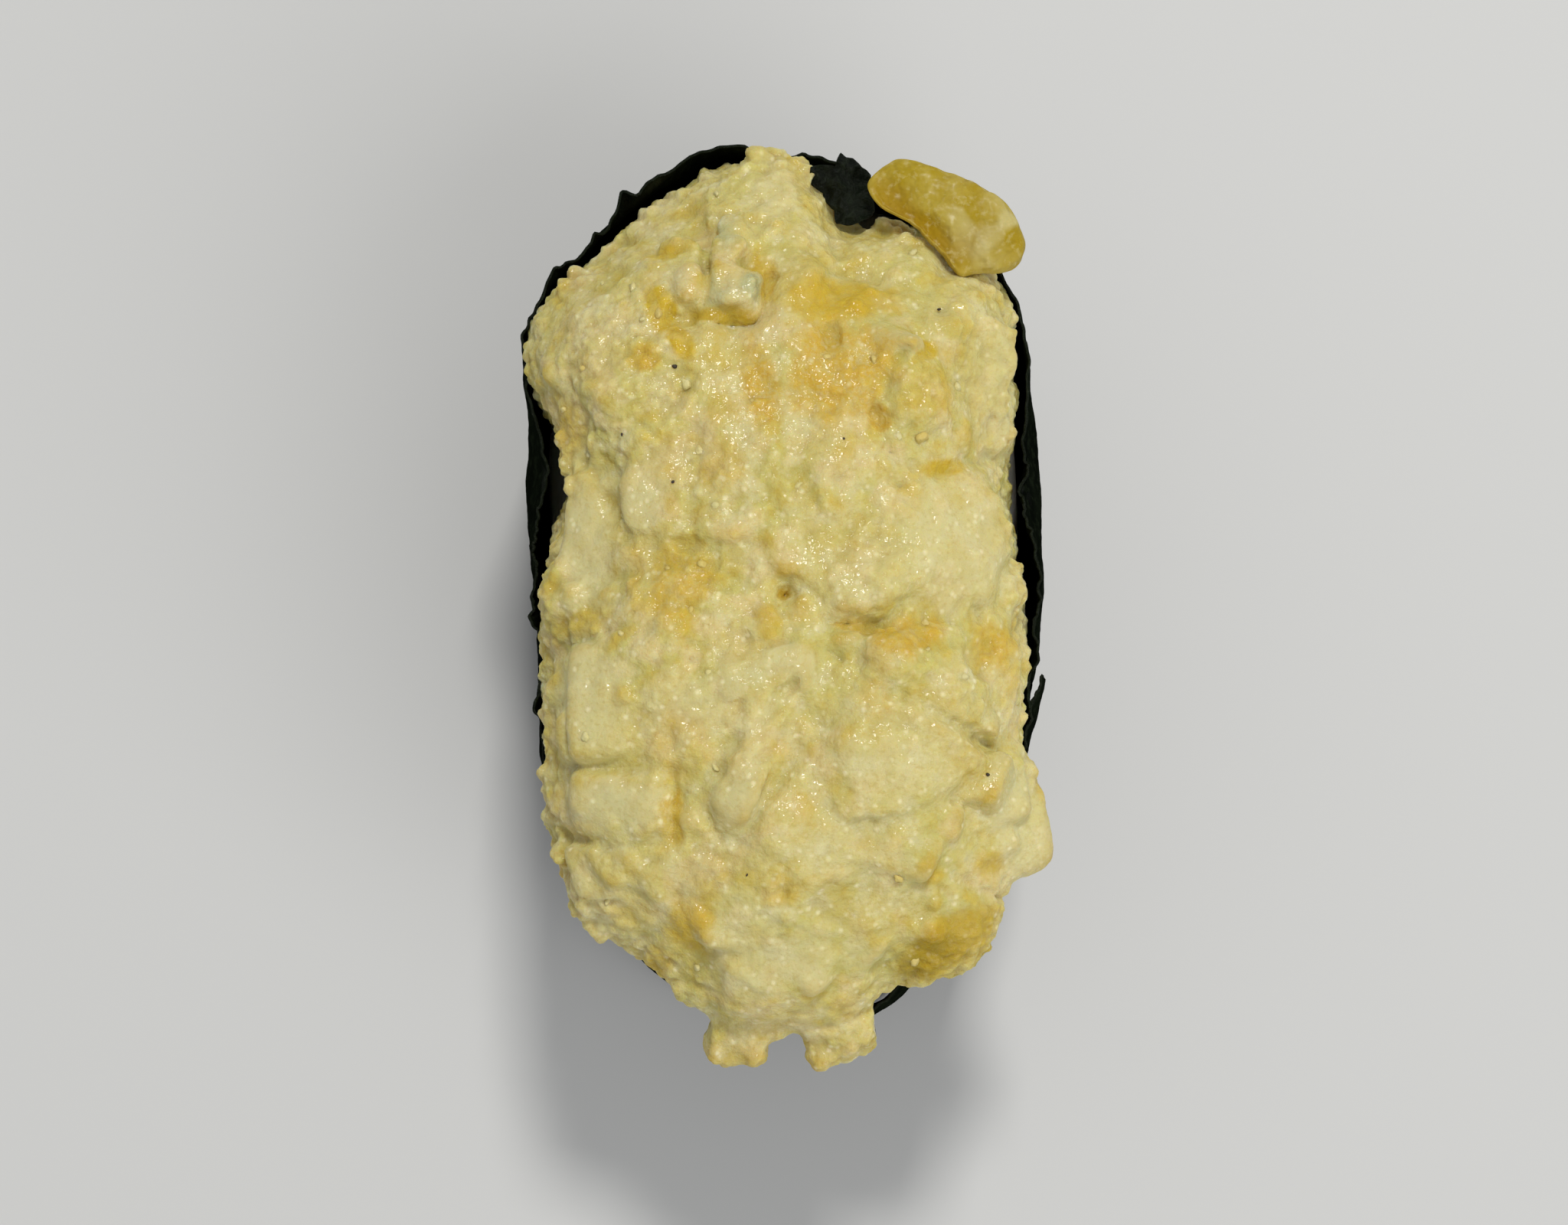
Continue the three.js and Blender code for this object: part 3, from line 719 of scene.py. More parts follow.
def surface(grid, low, h):
    """Closed quads round the inside of a field: one point in each crossed cell."""
    inside = grid < 0
    nx, ny, nz = grid.shape
    corners = [(i, j, k) for i in (0, 1) for j in (0, 1) for k in (0, 1)]
    some = np.zeros((nx - 1, ny - 1, nz - 1), bool)
    every = np.ones_like(some)
    for i, j, k in corners:
        c = inside[i : nx - 1 + i, j : ny - 1 + j, k : nz - 1 + k]
        some |= c
        every &= c
    active = some & ~every
    where = np.argwhere(active)
    number = np.full(active.shape, -1, np.int32)
    number[active] = np.arange(len(where), dtype=np.int32)
    value = {
        c: grid[where[:, 0] + c[0], where[:, 1] + c[1], where[:, 2] + c[2]].astype(float)
        for c in corners
    }
    total = np.zeros((len(where), 3))
    count = np.zeros(len(where))
    for a in corners:
        for axis in range(3):
            if a[axis]:
                continue
            b = tuple(1 if n == axis else v for n, v in enumerate(a))
            va, vb = value[a], value[b]
            cross = (va < 0) != (vb < 0)
            t = np.where(cross, va / np.where(cross, va - vb, 1.0), 0.0)
            for n in range(3):
                total[:, n] += np.where(cross, a[n] + (t if n == axis else 0.0), 0.0)
            count += cross
    pts = (where + total / count[:, None]) * h + np.array(low)
    quads = []
    for axis in range(3):
        o1, o2 = [n for n in range(3) if n != axis]
        s = [slice(1, -1)] * 3
        s0, s1 = list(s), list(s)
        s0[axis], s1[axis] = slice(0, -1), slice(1, None)
        a, b = inside[tuple(s0)], inside[tuple(s1)]
        hits = np.argwhere(a != b)
        if not len(hits):
            continue
        out = a[tuple(hits.T)]
        base = hits.copy()
        base[:, o1] += 1
        base[:, o2] += 1

        def cell(d1, d2):
            c = base.copy()
            c[:, o1] += d1
            c[:, o2] += d2
            return number[c[:, 0], c[:, 1], c[:, 2]]

        ring = np.stack([cell(-1, -1), cell(0, -1), cell(0, 0), cell(-1, 0)], 1)
        flip = out if axis != 1 else ~out
        quads.append(np.where(flip[:, None], ring, ring[:, ::-1]))
    return pts, np.concatenate(quads)


def chopped(p, size, seed, sharp=11.0):
    """Relief of chopped stuff: every scattered cell has its own height and tilt.

    Returns the relief from about -1 to 1, the gap to the next cell, which is 0
    in the seams, a number from 0 to 1 that belongs to the cell, and a dome from
    0 at the seams to 1 in the middle, lower on some cells.
    """
    q = (p @ _TILT.T) / size
    q = q + 0.28 * np.stack([noise(p, size * 1.3, seed + k) for k in (1, 2, 3)], 1)
    i = np.floor(q).astype(np.int64)
    total = np.zeros(len(p))
    relief = np.zeros(len(p))
    own = np.zeros(len(p))
    first = np.full(len(p), 9.0)
    second = np.full(len(p), 9.0)
    for dx in (-1, 0, 1):
        for dy in (-1, 0, 1):
            for dz in (-1, 0, 1):
                a, b, c = i[:, 0] + dx, i[:, 1] + dy, i[:, 2] + dz
                r1, r2, r3 = (lattice(a, b, c, seed + k) for k in (5, 11, 19))
                x = a + 0.1 + 0.8 * r1 - q[:, 0]
                y = b + 0.1 + 0.8 * r2 - q[:, 1]
                z = c + 0.1 + 0.8 * r3 - q[:, 2]
                d = (np.abs(x) ** 2.6 + np.abs(y) ** 2.6 + np.abs(z) ** 2.6) ** (1 / 2.6)
                w = np.exp(-sharp * d)
                h1, h2 = lattice(a, b, c, seed + 29), lattice(a, b, c, seed + 31)
                tilt = (r2 - 0.5) * x + (r3 - 0.5) * y + (r1 - 0.5) * z
                relief += w * (h1 * 1.4 - 0.7 - 1.6 * tilt)
                own += w * h2
                total += w
                nearer = d < first
                second = np.where(nearer, first, np.minimum(second, d))
                first = np.where(nearer, d, first)
    dome = np.clip(1 + np.log(total) / sharp / 0.62, -0.4, 1)
    dome = (1 - (1 - dome) ** 2) * (0.45 + 0.55 * own / total)
    return relief / total, second - first, own / total, dome


def line_map(x2, y2):
    """Depth of all the grooves and pits over the plan."""
    depth = np.zeros_like(x2)
    flat = np.stack([x2.ravel(), y2.ravel(), np.zeros(x2.size)], 1)
    wx = x2 + 0.22 * noise(flat, 1.3, 201).reshape(x2.shape)
    wy = y2 + 0.22 * noise(flat, 1.3, 207).reshape(x2.shape)
    ragged = 0.75 + 0.5 * noise(flat, 0.9, 211).reshape(x2.shape)
    for line, half, deep in CREASES:
        places = [on_heap(x, y, skin)[:2] for x, y in line]
        away = np.full(x2.shape, 99.0)
        for (xa, ya), (xb, yb) in zip(places, places[1:]):
            lx, ly = xb - xa, yb - ya
            t = np.clip(((wx - xa) * lx + (wy - ya) * ly) / (lx * lx + ly * ly), 0, 1)
            np.minimum(away, np.hypot(wx - xa - t * lx, wy - ya - t * ly), out=away)
        depth = np.maximum(depth, deep * ragged * np.exp(-((away / half) ** 2)))
    for x, y, half, deep in PITS:
        px, py, _ = on_heap(x, y, skin)
        away = np.hypot(wx - px, wy - py)
        depth = np.maximum(depth, deep * np.exp(-((away / half) ** 2)))
    return depth


def patch_masks(pts):
    """Gold, orange, granular crumb, smooth pale and deep amber with some painted shade, at each point."""
    gold, orange, crumb, pale = (np.zeros(len(pts)) for _ in range(4))
    ragged = 0.38 * fbm(pts, 1.1, 21, 3)

    def spread(px, py, rx, ry, turn):
        cx, cy, _ = on_heap(px, py, skin)
        cs, sn = math.cos(math.radians(turn)), math.sin(math.radians(turn))
        u = ((pts[:, 0] - cx) * cs + (pts[:, 1] - cy) * sn) / rx
        v = ((pts[:, 1] - cy) * cs - (pts[:, 0] - cx) * sn) / ry
        return 1 - smoothstep(np.sqrt(u * u + v * v) + ragged, 0.55, 1.15)

    for px, py, rx, ry, turn, g, o, c in PATCHES:
        m = spread(px, py, rx, ry, turn)
        gold = np.maximum(gold, g * m)
        orange = np.maximum(orange, o * m)
        crumb = np.maximum(crumb, c * m)
    for px, py, rx, ry, turn, much in PALES:
        pale = np.maximum(pale, much * spread(px, py, rx, ry, turn))
    amber = np.zeros(len(pts))
    for px, py, rx, ry, turn, much in AMBERS:
        amber = np.maximum(amber, much * spread(px, py, rx, ry, turn))
    return gold, orange, crumb, pale * (1 - np.clip(gold + orange, 0, 1)), amber


def make_heap():
    field = Field(VOXEL)
    ax, ay, az = field.axes
    x2, y2 = np.meshgrid(ax, ay, indexing="ij")
    theta = np.arctan2(y2, x2)
    r2 = np.hypot(x2, y2)
    flat = np.stack([x2.ravel(), y2.ravel(), np.zeros(x2.size)], 1)
    rim2 = rim(theta) - 0.15 + 0.30 * fbm(flat, 1.9, 9, 3).reshape(x2.shape)
    top2 = skin(x2, y2) + 0.36 * fbm(flat, 3.4, 3, 3).reshape(x2.shape)
    gx, gy = np.gradient(top2, field.h)
    steep = 1 / np.sqrt(1 + np.minimum(gx * gx + gy * gy, 9.0))
    # The plug fills the seaweed, and keeps back where the rim lies inside it.
    plug2 = np.minimum(wall_radius(theta, 28.5) - 0.34, rim2 + 0.5)
    lip2 = WALL_HEIGHT + 0.6 - droop(theta)
    z = az[None, None, :]
    wide = smoothstep(z, lip2[:, :, None], lip2[:, :, None] + 0.9)
    round_off = 0.10 * np.clip(z - 30.2, 0, 9) ** 2
    reach = plug2[:, :, None] * (1 - wide) + rim2[:, :, None] * wide - round_off
    side = (r2[:, :, None] - reach) * 0.88
    over = (z - top2[:, :, None]) * steep[:, :, None]
    field.layer["mix"] = smax(over, side, 1.3).astype(np.float32)
    for stuff in ("white", "clear", "yolk"):
        field.layer[stuff] = np.full(field.layer["mix"].shape, 4.0, np.float32)
    # Cut pieces keep within the seaweed, and stand little out of the side above.
    fence = (side - 0.45 * wide).astype(np.float32)
    del over, side, reach, wide

    draw = np.random.default_rng(41)
    for x, y, proud, rx, ry, rz, turn, power in LUMPS:
        px, py, pz = on_heap(x, y, skin)
        lean = slope_lean(px, py) @ turn_matrix(turn, draw.uniform(-7, 7), draw.uniform(-7, 7))
        field.round_block("mix", (px, py, pz + proud) - lean[:, 2] * rz, (rx, ry, rz), lean, power, 0.35 + 0.2 * min(rx, ry))
    for stuff, table in (("white", WHITES), ("clear", CLEARS), ("yolk", YOLKS)):
        for x, y, proud, rx, ry, rz, turn, right, away in table:
            px, py, pz = on_heap(x, y, skin)
            lean = slope_lean(px, py) @ turn_matrix(turn) @ turn_matrix(0, right, -away)
            field.cut_block(
                stuff, (px, py, pz + proud) - lean[:, 2] * rz, (rx, ry, rz), lean, draw,
                edge=0.13 + (0.10 if stuff == "white" else 0.06) * min(rx, ry), k=0.25,
            )

    def scatter(count, small, large, kinds, proud):
        """Chopped pieces all over, pressed in so that little of each stands out."""
        for _ in range(count):
            t = draw.uniform(0, 2 * math.pi)
            r = float(rim(np.array([t]))[0])
            if draw.random() < 0.88:
                half = draw.uniform(small, large) * np.array(
                    [draw.uniform(0.8, 1.35), draw.uniform(0.8, 1.2), draw.uniform(0.6, 0.95)]
                )
                s = math.sqrt(draw.random()) * (r - 0.9 * float(half.max()))
                x, y = s * math.cos(t), s * math.sin(t)
                zc = float(skin(np.array([x]), np.array([y]))[0])
                tip = (draw.uniform(-24, 24), draw.uniform(-24, 24))
                centre = (x, y, zc + draw.uniform(*proud) - half[2])
                turn = turn_matrix(draw.uniform(0, 180), *tip)
            else:
                half = draw.uniform(0.5, 1.0) * draw.uniform(0.7, 1.2, 3)
                s = r + draw.uniform(-0.3, 0.1) - float(half.max())
                centre = (s * math.cos(t), s * math.sin(t), draw.uniform(28.6, 31.0))
                if draw.random() < 0.6:
                    continue
                turn = turn_matrix(*draw.uniform(-180, 180, 3))
            kind = str(draw.choice(list(kinds), p=list(kinds.values())))
            if kind == "mix" and math.hypot(centre[0], centre[1]) > r - 1.6:
                continue
            if kind == "mix":
                field.round_block("mix", centre, tuple(half), turn, draw.uniform(2.6, 4.2), 0.3)
            else:
                field.cut_block(kind, centre, tuple(half), turn, draw)

    scatter(60, 1.2, 2.1, {"white": 0.5, "mix": 0.5}, (-0.25, 0.05))
    scatter(190, 0.6, 1.1, {"white": 0.45, "mix": 0.55}, (-0.12, 0.12))
    scatter(420, 0.26, 0.46, {"white": 0.25, "mix": 0.70, "yolk": 0.05}, (-0.02, 0.16))

    layer = field.layer
    for stuff in ("white", "clear", "yolk"):
        layer[stuff] = smax(layer[stuff], fence, 0.3)
    grooves = (line_map(x2, y2)[:, :, None] * smoothstep(z, 27.6, 28.8)).astype(np.float32)
    for stuff in layer:
        layer[stuff] += grooves
    cut = np.minimum(np.minimum(layer["white"], layer["clear"]), layer["yolk"])
    # A thin coat of mayonnaise climbs the cut pieces' edges and lies on them in
    # patches.
    band = np.abs(np.minimum(layer["mix"], cut)) < 0.9
    where = np.argwhere(band)
    coat = np.full(layer["mix"].shape, 0.05, np.float32)
    coat[band] = 0.08 + 0.30 * fbm(where * field.h, 1.6, 51, 2)
    core = box_blur(smin(layer["mix"], cut + coat, 0.4), 1)
    body = smin(core, box_blur(cut.astype(np.float32), 1), 0.12)
    broad = box_blur(box_blur(body, max(2, int(0.55 / field.h))), 2)

    pts, quads = surface(body, field.LOW, field.h)
    n = normals_of(pts, [quads])
    # Where a cut piece comes out of its coat it shows its own colour.
    coated = field.sample(core, pts)
    shown = {
        stuff: smoothstep(coated - field.sample(layer[stuff], pts), 0.02, 0.26)
        for stuff in ("white", "clear", "yolk")
    }
    bare = np.maximum(np.maximum(shown["white"], shown["clear"]), shown["yolk"])
    near_cut = field.sample(cut, pts) - field.sample(layer["mix"], pts)
    under = 1 / (1 + np.exp(np.clip((near_cut + 0.1) / 0.12, -30, 30)))
    # The mask of painted shade: how far the skin lies inside its blurred self, deepest in creases.
    hollow = field.sample(broad, pts) - field.sample(body, pts)
    gold, orange, crumb, pale, amber = patch_masks(pts)
    big, _, own_big, _ = chopped(pts, 3.0, 301, 15.0)
    mid, _, own_mid, dome_mid = chopped(pts, 1.25, 331)
    small, _, own_small, dome_small = chopped(pts, 0.62, 361)
    curdy = 0.35 + 0.45 * smoothstep(noise(pts, 4.5, 55), -0.5, 0.5)
    for cx, cy, rx, ry, much in CURDS:
        px, py, _ = on_heap(cx, cy, skin)
        away = np.hypot((pts[:, 0] - px) / rx, (pts[:, 1] - py) / ry)
        curdy = np.maximum(curdy, 1.3 * much * (1 - smoothstep(away, 0.6, 1.15)))
    theta = np.arctan2(pts[:, 1], pts[:, 0])
    out = np.hypot(pts[:, 0], pts[:, 1]) / rim(theta)
    ragged = smoothstep(out, 0.86, 0.98)
    ragged = ragged * (1 - 0.75 * bump(theta, 268, 12)) * (1 - 0.85 * bump(theta, 313, 9))
    curdy = np.maximum(curdy, 1.6 * ragged)
    calm = 1 - 0.6 * np.maximum(under, 0.8 * pale) * (1 - ragged)
    lift = (
        0.32 * big
        + 0.05 * mid
        + 0.22 * curdy * (dome_mid - 0.55)
        + (0.22 + 0.06 * crumb) * curdy * (dome_small - 0.5)
        + (0.03 + 0.04 * curdy) * fbm(pts, 0.55, 47, 2)
    )
    cut_lift = (
        0.07 * mid
        + 0.08 * (dome_mid - 0.5)
        + 0.03 * fbm(pts, 0.5, 407, 2)
        + 0.22 * shown["clear"] * (dome_small - 0.5)
    )
    lift = lift * calm * (1 - bare) + cut_lift * bare
    pts = pts + n * np.clip(lift, -0.5, 0.45)[:, None]
    # Below the seaweed's edge it keeps well inside, unless it hangs over there.
    sunk = wall_top(theta) - 0.4 - pts[:, 2]
    keep = wall_radius(theta, pts[:, 2]) - 0.3 - 0.6 * smoothstep(sunk, 0.0, 1.5)
    corner = bump(theta, 145, 24) > 0.45
    inside = (sunk > 0) & ((rim(theta) < wall_radius(theta, 28.0) + 0.3) | corner)
    k = np.where(inside, np.minimum(1, keep / np.hypot(pts[:, 0], pts[:, 1])), 1)
    pts[:, :2] *= k[:, None]
    ob = build("egg_mayonnaise_heap", pts, [quads])
    # low and the crease mask mark sunken spots and creases, where the material paints shade.
    paint(
        ob,
        gold=np.clip(gold, 0, 1.3),
        orange=orange,
        pale=pale,
        amber=amber,
        tone=np.clip(0.45 * own_big + 0.55 * own_mid, 0, 1),
        speck=own_small,
        low=np.clip(-lift / 0.40, -1, 1),
        hollow=np.clip(hollow / 0.25, -1, 1),
        crumb=crumb,
        **shown,
    )
    # What the seaweed hides is a plain plug down to the rice.
    bm = bmesh.new()
    bm.from_mesh(ob.data)
    hidden = []
    for f in bm.faces:
        c = f.calc_center_median() / MM
        x, y = c.x - SHIFT[0], c.y - SHIFT[1]
        if c.z < 26.0 and math.hypot(x, y) < wall_radius(math.atan2(y, x), 26.0) - 0.2:
            hidden.append(f)
    bmesh.ops.delete(bm, geom=hidden, context="FACES")

    def tuck_in(v, z):
        """Moves a corner inside the seaweed, at height z."""
        x, y = v.co.x / MM - SHIFT[0], v.co.y / MM - SHIFT[1]
        limit = wall_radius(math.atan2(y, x), z) - 1.0
        k = min(1.0, limit / math.hypot(x, y))
        v.co = ((x * k + SHIFT[0]) * MM, (y * k + SHIFT[1]) * MM, z * MM)

    edge = [e for e in bm.edges if e.is_boundary]
    for v in {v for e in edge for v in e.verts}:
        tuck_in(v, v.co.z / MM)
    grown = bmesh.ops.extrude_edge_only(bm, edges=edge)["geom"]
    for v in grown:
        if isinstance(v, bmesh.types.BMVert):
            tuck_in(v, RICE_HEIGHT + 0.9)
    edge = [e for e in grown if isinstance(e, bmesh.types.BMEdge) and e.is_boundary]
    bmesh.ops.holes_fill(bm, edges=edge, sides=0)
    bmesh.ops.recalc_face_normals(bm, faces=bm.faces)
    for f in bm.faces:
        f.smooth = len(f.verts) <= 4
    bm.to_mesh(ob.data)
    bm.free()

    return ob, pts, normals_of(pts, [quads]), gold, orange, curdy + crumb, out


heap, SKIN, SKIN_NORMAL, SKIN_GOLD, SKIN_ORANGE, SKIN_CURDY, SKIN_OUT = make_heap()


def make_crumbs():
    """Loose crumbs of white and yolk that sit on the heap, half sunk in it."""
    draw = np.random.default_rng(77)
    weight = SKIN_CURDY**1.5 * (SKIN_NORMAL[:, 2] > 0.35) * (SKIN_OUT < 0.95)
    chosen = draw.choice(len(SKIN), 36, replace=False, p=weight / weight.sum())
    v, quads, tris = ball(10, 7)
    q = (np.abs(v) ** 2.6).sum(1) ** (-1 / 2.6)
    points, faces4, faces3, gold, orange, white = [], [], [], [], [], []
    for k, at in enumerate(chosen):
        size = 0.18 + 0.16 * draw.random() ** 1.6
        half = size * draw.uniform([0.8, 0.7, 0.6], [1.6, 1.2, 0.9])
        shape = v * (q * (1 + 0.34 * noise(v + 5.3 * k, 0.8, 907)))[:, None] * half
        shape = shape @ turn_matrix(*draw.uniform(-180, 180, 3)).T
        yolk = SKIN_GOLD[at] + SKIN_ORANGE[at] > 0.35 or draw.random() < 0.15
        base = k * len(v)
        points.append(shape + SKIN[at] - SKIN_NORMAL[at] * 0.40 * size)
        faces4.append(quads + base)
        faces3.append(tris + base)
        gold.append(np.full(len(v), 0.7 if yolk else 0.0))
        orange.append(np.full(len(v), draw.uniform(0, 0.5) if yolk else 0.0))
        white.append(np.full(len(v), 0.0 if yolk else draw.uniform(0.0, 0.5)))
    ob = build("loose_crumbs", np.concatenate(points), [np.concatenate(faces4), np.concatenate(faces3)])
    paint(ob, gold=np.concatenate(gold), orange=np.concatenate(orange), white=np.concatenate(white))
    return ob


crumbs = make_crumbs()


# ------------------------------------------------------------------ material
def principled(name):
    mat = bpy.data.materials.new(name)
    mat.use_nodes = True
    nt = mat.node_tree
    return mat, nt, nt.nodes["Principled BSDF"]


def node(nt, kind, **settings):
    n = nt.nodes.new(kind)
    for k, v in settings.items():
        if k.startswith("in_"):
            n.inputs[k[3:].replace("_", " ")].default_value = v
        else:
            setattr(n, k, v)
    return n


def link(nt, a, out, b, inp):
    nt.links.new(a.outputs[out], b.inputs[inp])


def attribute(nt, name):
    return node(nt, "ShaderNodeAttribute", attribute_name=name)


def mix_colour(nt, factor, a, b, blend="MIX"):
    """a and b are colours or (node, output); factor is a number or (node, output)."""
    m = nt.nodes.new("ShaderNodeMix")
    m.data_type = "RGBA"
    m.blend_type = blend
    m.clamp_factor = True
    for socket, value in ((0, factor), (6, a), (7, b)):
        if isinstance(value, tuple) and hasattr(value[0], "outputs"):
            nt.links.new(value[0].outputs[value[1]], m.inputs[socket])
        elif socket == 0:
            m.inputs[0].default_value = value
        else:
            m.inputs[socket].default_value = (*value, 1.0)
    return (m, 2)


def maths(nt, op, a, b=None, clamp=False):
    m = nt.nodes.new("ShaderNodeMath")
    m.operation = op
    m.use_clamp = clamp
    for i, value in enumerate((a, b)):
        if value is None:
            continue
        if isinstance(value, tuple):
            nt.links.new(value[0].outputs[value[1]], m.inputs[i])
        else:
            m.inputs[i].default_value = value
    return (m, 0)


def noise_tex(nt, coords, size_mm, detail=3.0, rough=0.55, distortion=0.0):
    n = nt.nodes.new("ShaderNodeTexNoise")
    n.inputs["Scale"].default_value = 1.0 / (size_mm * MM)
    n.inputs["Detail"].default_value = detail
    n.inputs["Roughness"].default_value = rough
    n.inputs["Distortion"].default_value = distortion
    nt.links.new(coords.outputs["Object"], n.inputs["Vector"])
    return n


def ramp(nt, source, low, high):
    """Maps a number from low..high to 0..1, clamped."""
    m = nt.nodes.new("ShaderNodeMapRange")
    m.clamp = True
    m.inputs["From Min"].default_value = low
    m.inputs["From Max"].default_value = high
    nt.links.new(source[0].outputs[source[1]], m.inputs["Value"])
    return (m, 0)


CREAM = (0.632, 0.540, 0.198)
CREAM_GREEN = (0.585, 0.518, 0.172)
CREAM_PINK = (0.678, 0.560, 0.250)
WHITE = (0.675, 0.612, 0.315)
WHITE_COOL = (0.605, 0.562, 0.272)
CLEAR = (0.410, 0.425, 0.225)
GOLD = (0.585, 0.414, 0.038)
ORANGE = (0.605, 0.396, 0.056)
# Deep gold for dark grains, and the colour of painted shade in hollows.
DEEP_GRAIN_AND_SHADE = (0.440, 0.280, 0.012)
AMBER = (0.392, 0.268, 0.016)
# Pale of fat drops and painted glints, and the painted light on loose crumbs.
PALE = (0.900, 0.830, 0.520)


def droplets(nt, co, size_mm, inner, outer):
    """Tiny round drops of fat in the mix, also a painted highlight for tiny wet glints: 1 in a drop, 0 between
    them.
    """
    v = nt.nodes.new("ShaderNodeTexVoronoi")
    v.feature = "F1"
    v.inputs["Scale"].default_value = 1.0 / (size_mm * MM)
    v.inputs["Randomness"].default_value = 1.0
    nt.links.new(co.outputs["Object"], v.inputs["Vector"])
    return ramp(nt, (v, "Distance"), outer, inner)


def bumped(nt, height, distance_mm, strength, socket):
    b = nt.nodes.new("ShaderNodeBump")
    b.inputs["Strength"].default_value = strength
    b.inputs["Distance"].default_value = distance_mm * MM
    nt.links.new(height[0].outputs[height[1]], b.inputs["Height"])
    nt.links.new(b.outputs["Normal"], socket)


def wet(nt, bsdf, co, uneven, low, high, grainy, soften, rest=None, film_mm=0.36, coat=0.6, gloss=0.18):
    """Creamy body with a moist film over it that glints in tiny spots."""
    bsdf.inputs["Subsurface Weight"].default_value = soften
    bsdf.inputs["Subsurface Radius"].default_value = (1.0, 0.70, 0.35)
    bsdf.inputs["Subsurface Scale"].default_value = 0.0013
    bsdf.inputs["IOR"].default_value = 1.45
    bsdf.inputs["Specular IOR Level"].default_value = 0.03
    r = nt.nodes.new("ShaderNodeMapRange")
    r.inputs["From Min"].default_value = 0.36
    r.inputs["From Max"].default_value = 0.62
    r.inputs["To Min"].default_value = low
    r.inputs["To Max"].default_value = high
    nt.links.new(uneven[0].outputs[0], r.inputs["Value"])
    nt.links.new(r.outputs[0], bsdf.inputs["Roughness"])
    body = (noise_tex(nt, co, 0.84 * film_mm, 2.0, 0.6), 0)
    if rest:
        body = maths(nt, "MULTIPLY", body, rest)
    bumped(nt, body, 0.36 * film_mm * grainy, 1.0, bsdf.inputs["Normal"])
    film = (noise_tex(nt, co, 1.15 * film_mm, 1.0), 0)
    # The film shows on what faces the eye: steep sides keep their own colour.
    facing = nt.nodes.new("ShaderNodeLayerWeight")
    facing.inputs["Blend"].default_value = 0.5
    film_here = maths(nt, "MULTIPLY", ramp(nt, (facing, "Facing"), 0.80, 0.40), coat)
    patchy = ramp(nt, (uneven[1], 0), 0.42, 0.58)
    patchy = maths(nt, "ADD", maths(nt, "MULTIPLY", patchy, 0.85), 0.5)
    film_here = maths(nt, "MULTIPLY", film_here, patchy, clamp=True)
    nt.links.new(film_here[0].outputs[film_here[1]], bsdf.inputs["Coat Weight"])
    bsdf.inputs["Coat Roughness"].default_value = gloss
    bsdf.inputs["Coat IOR"].default_value = 1.38
    bumped(nt, film, 0.50 * film_mm * grainy, 1.0, bsdf.inputs["Coat Normal"])


CUTS = {"white": (WHITE, WHITE_COOL), "clear": (CLEAR, (0.570, 0.565, 0.320)), "yolk": (GOLD, ORANGE)}


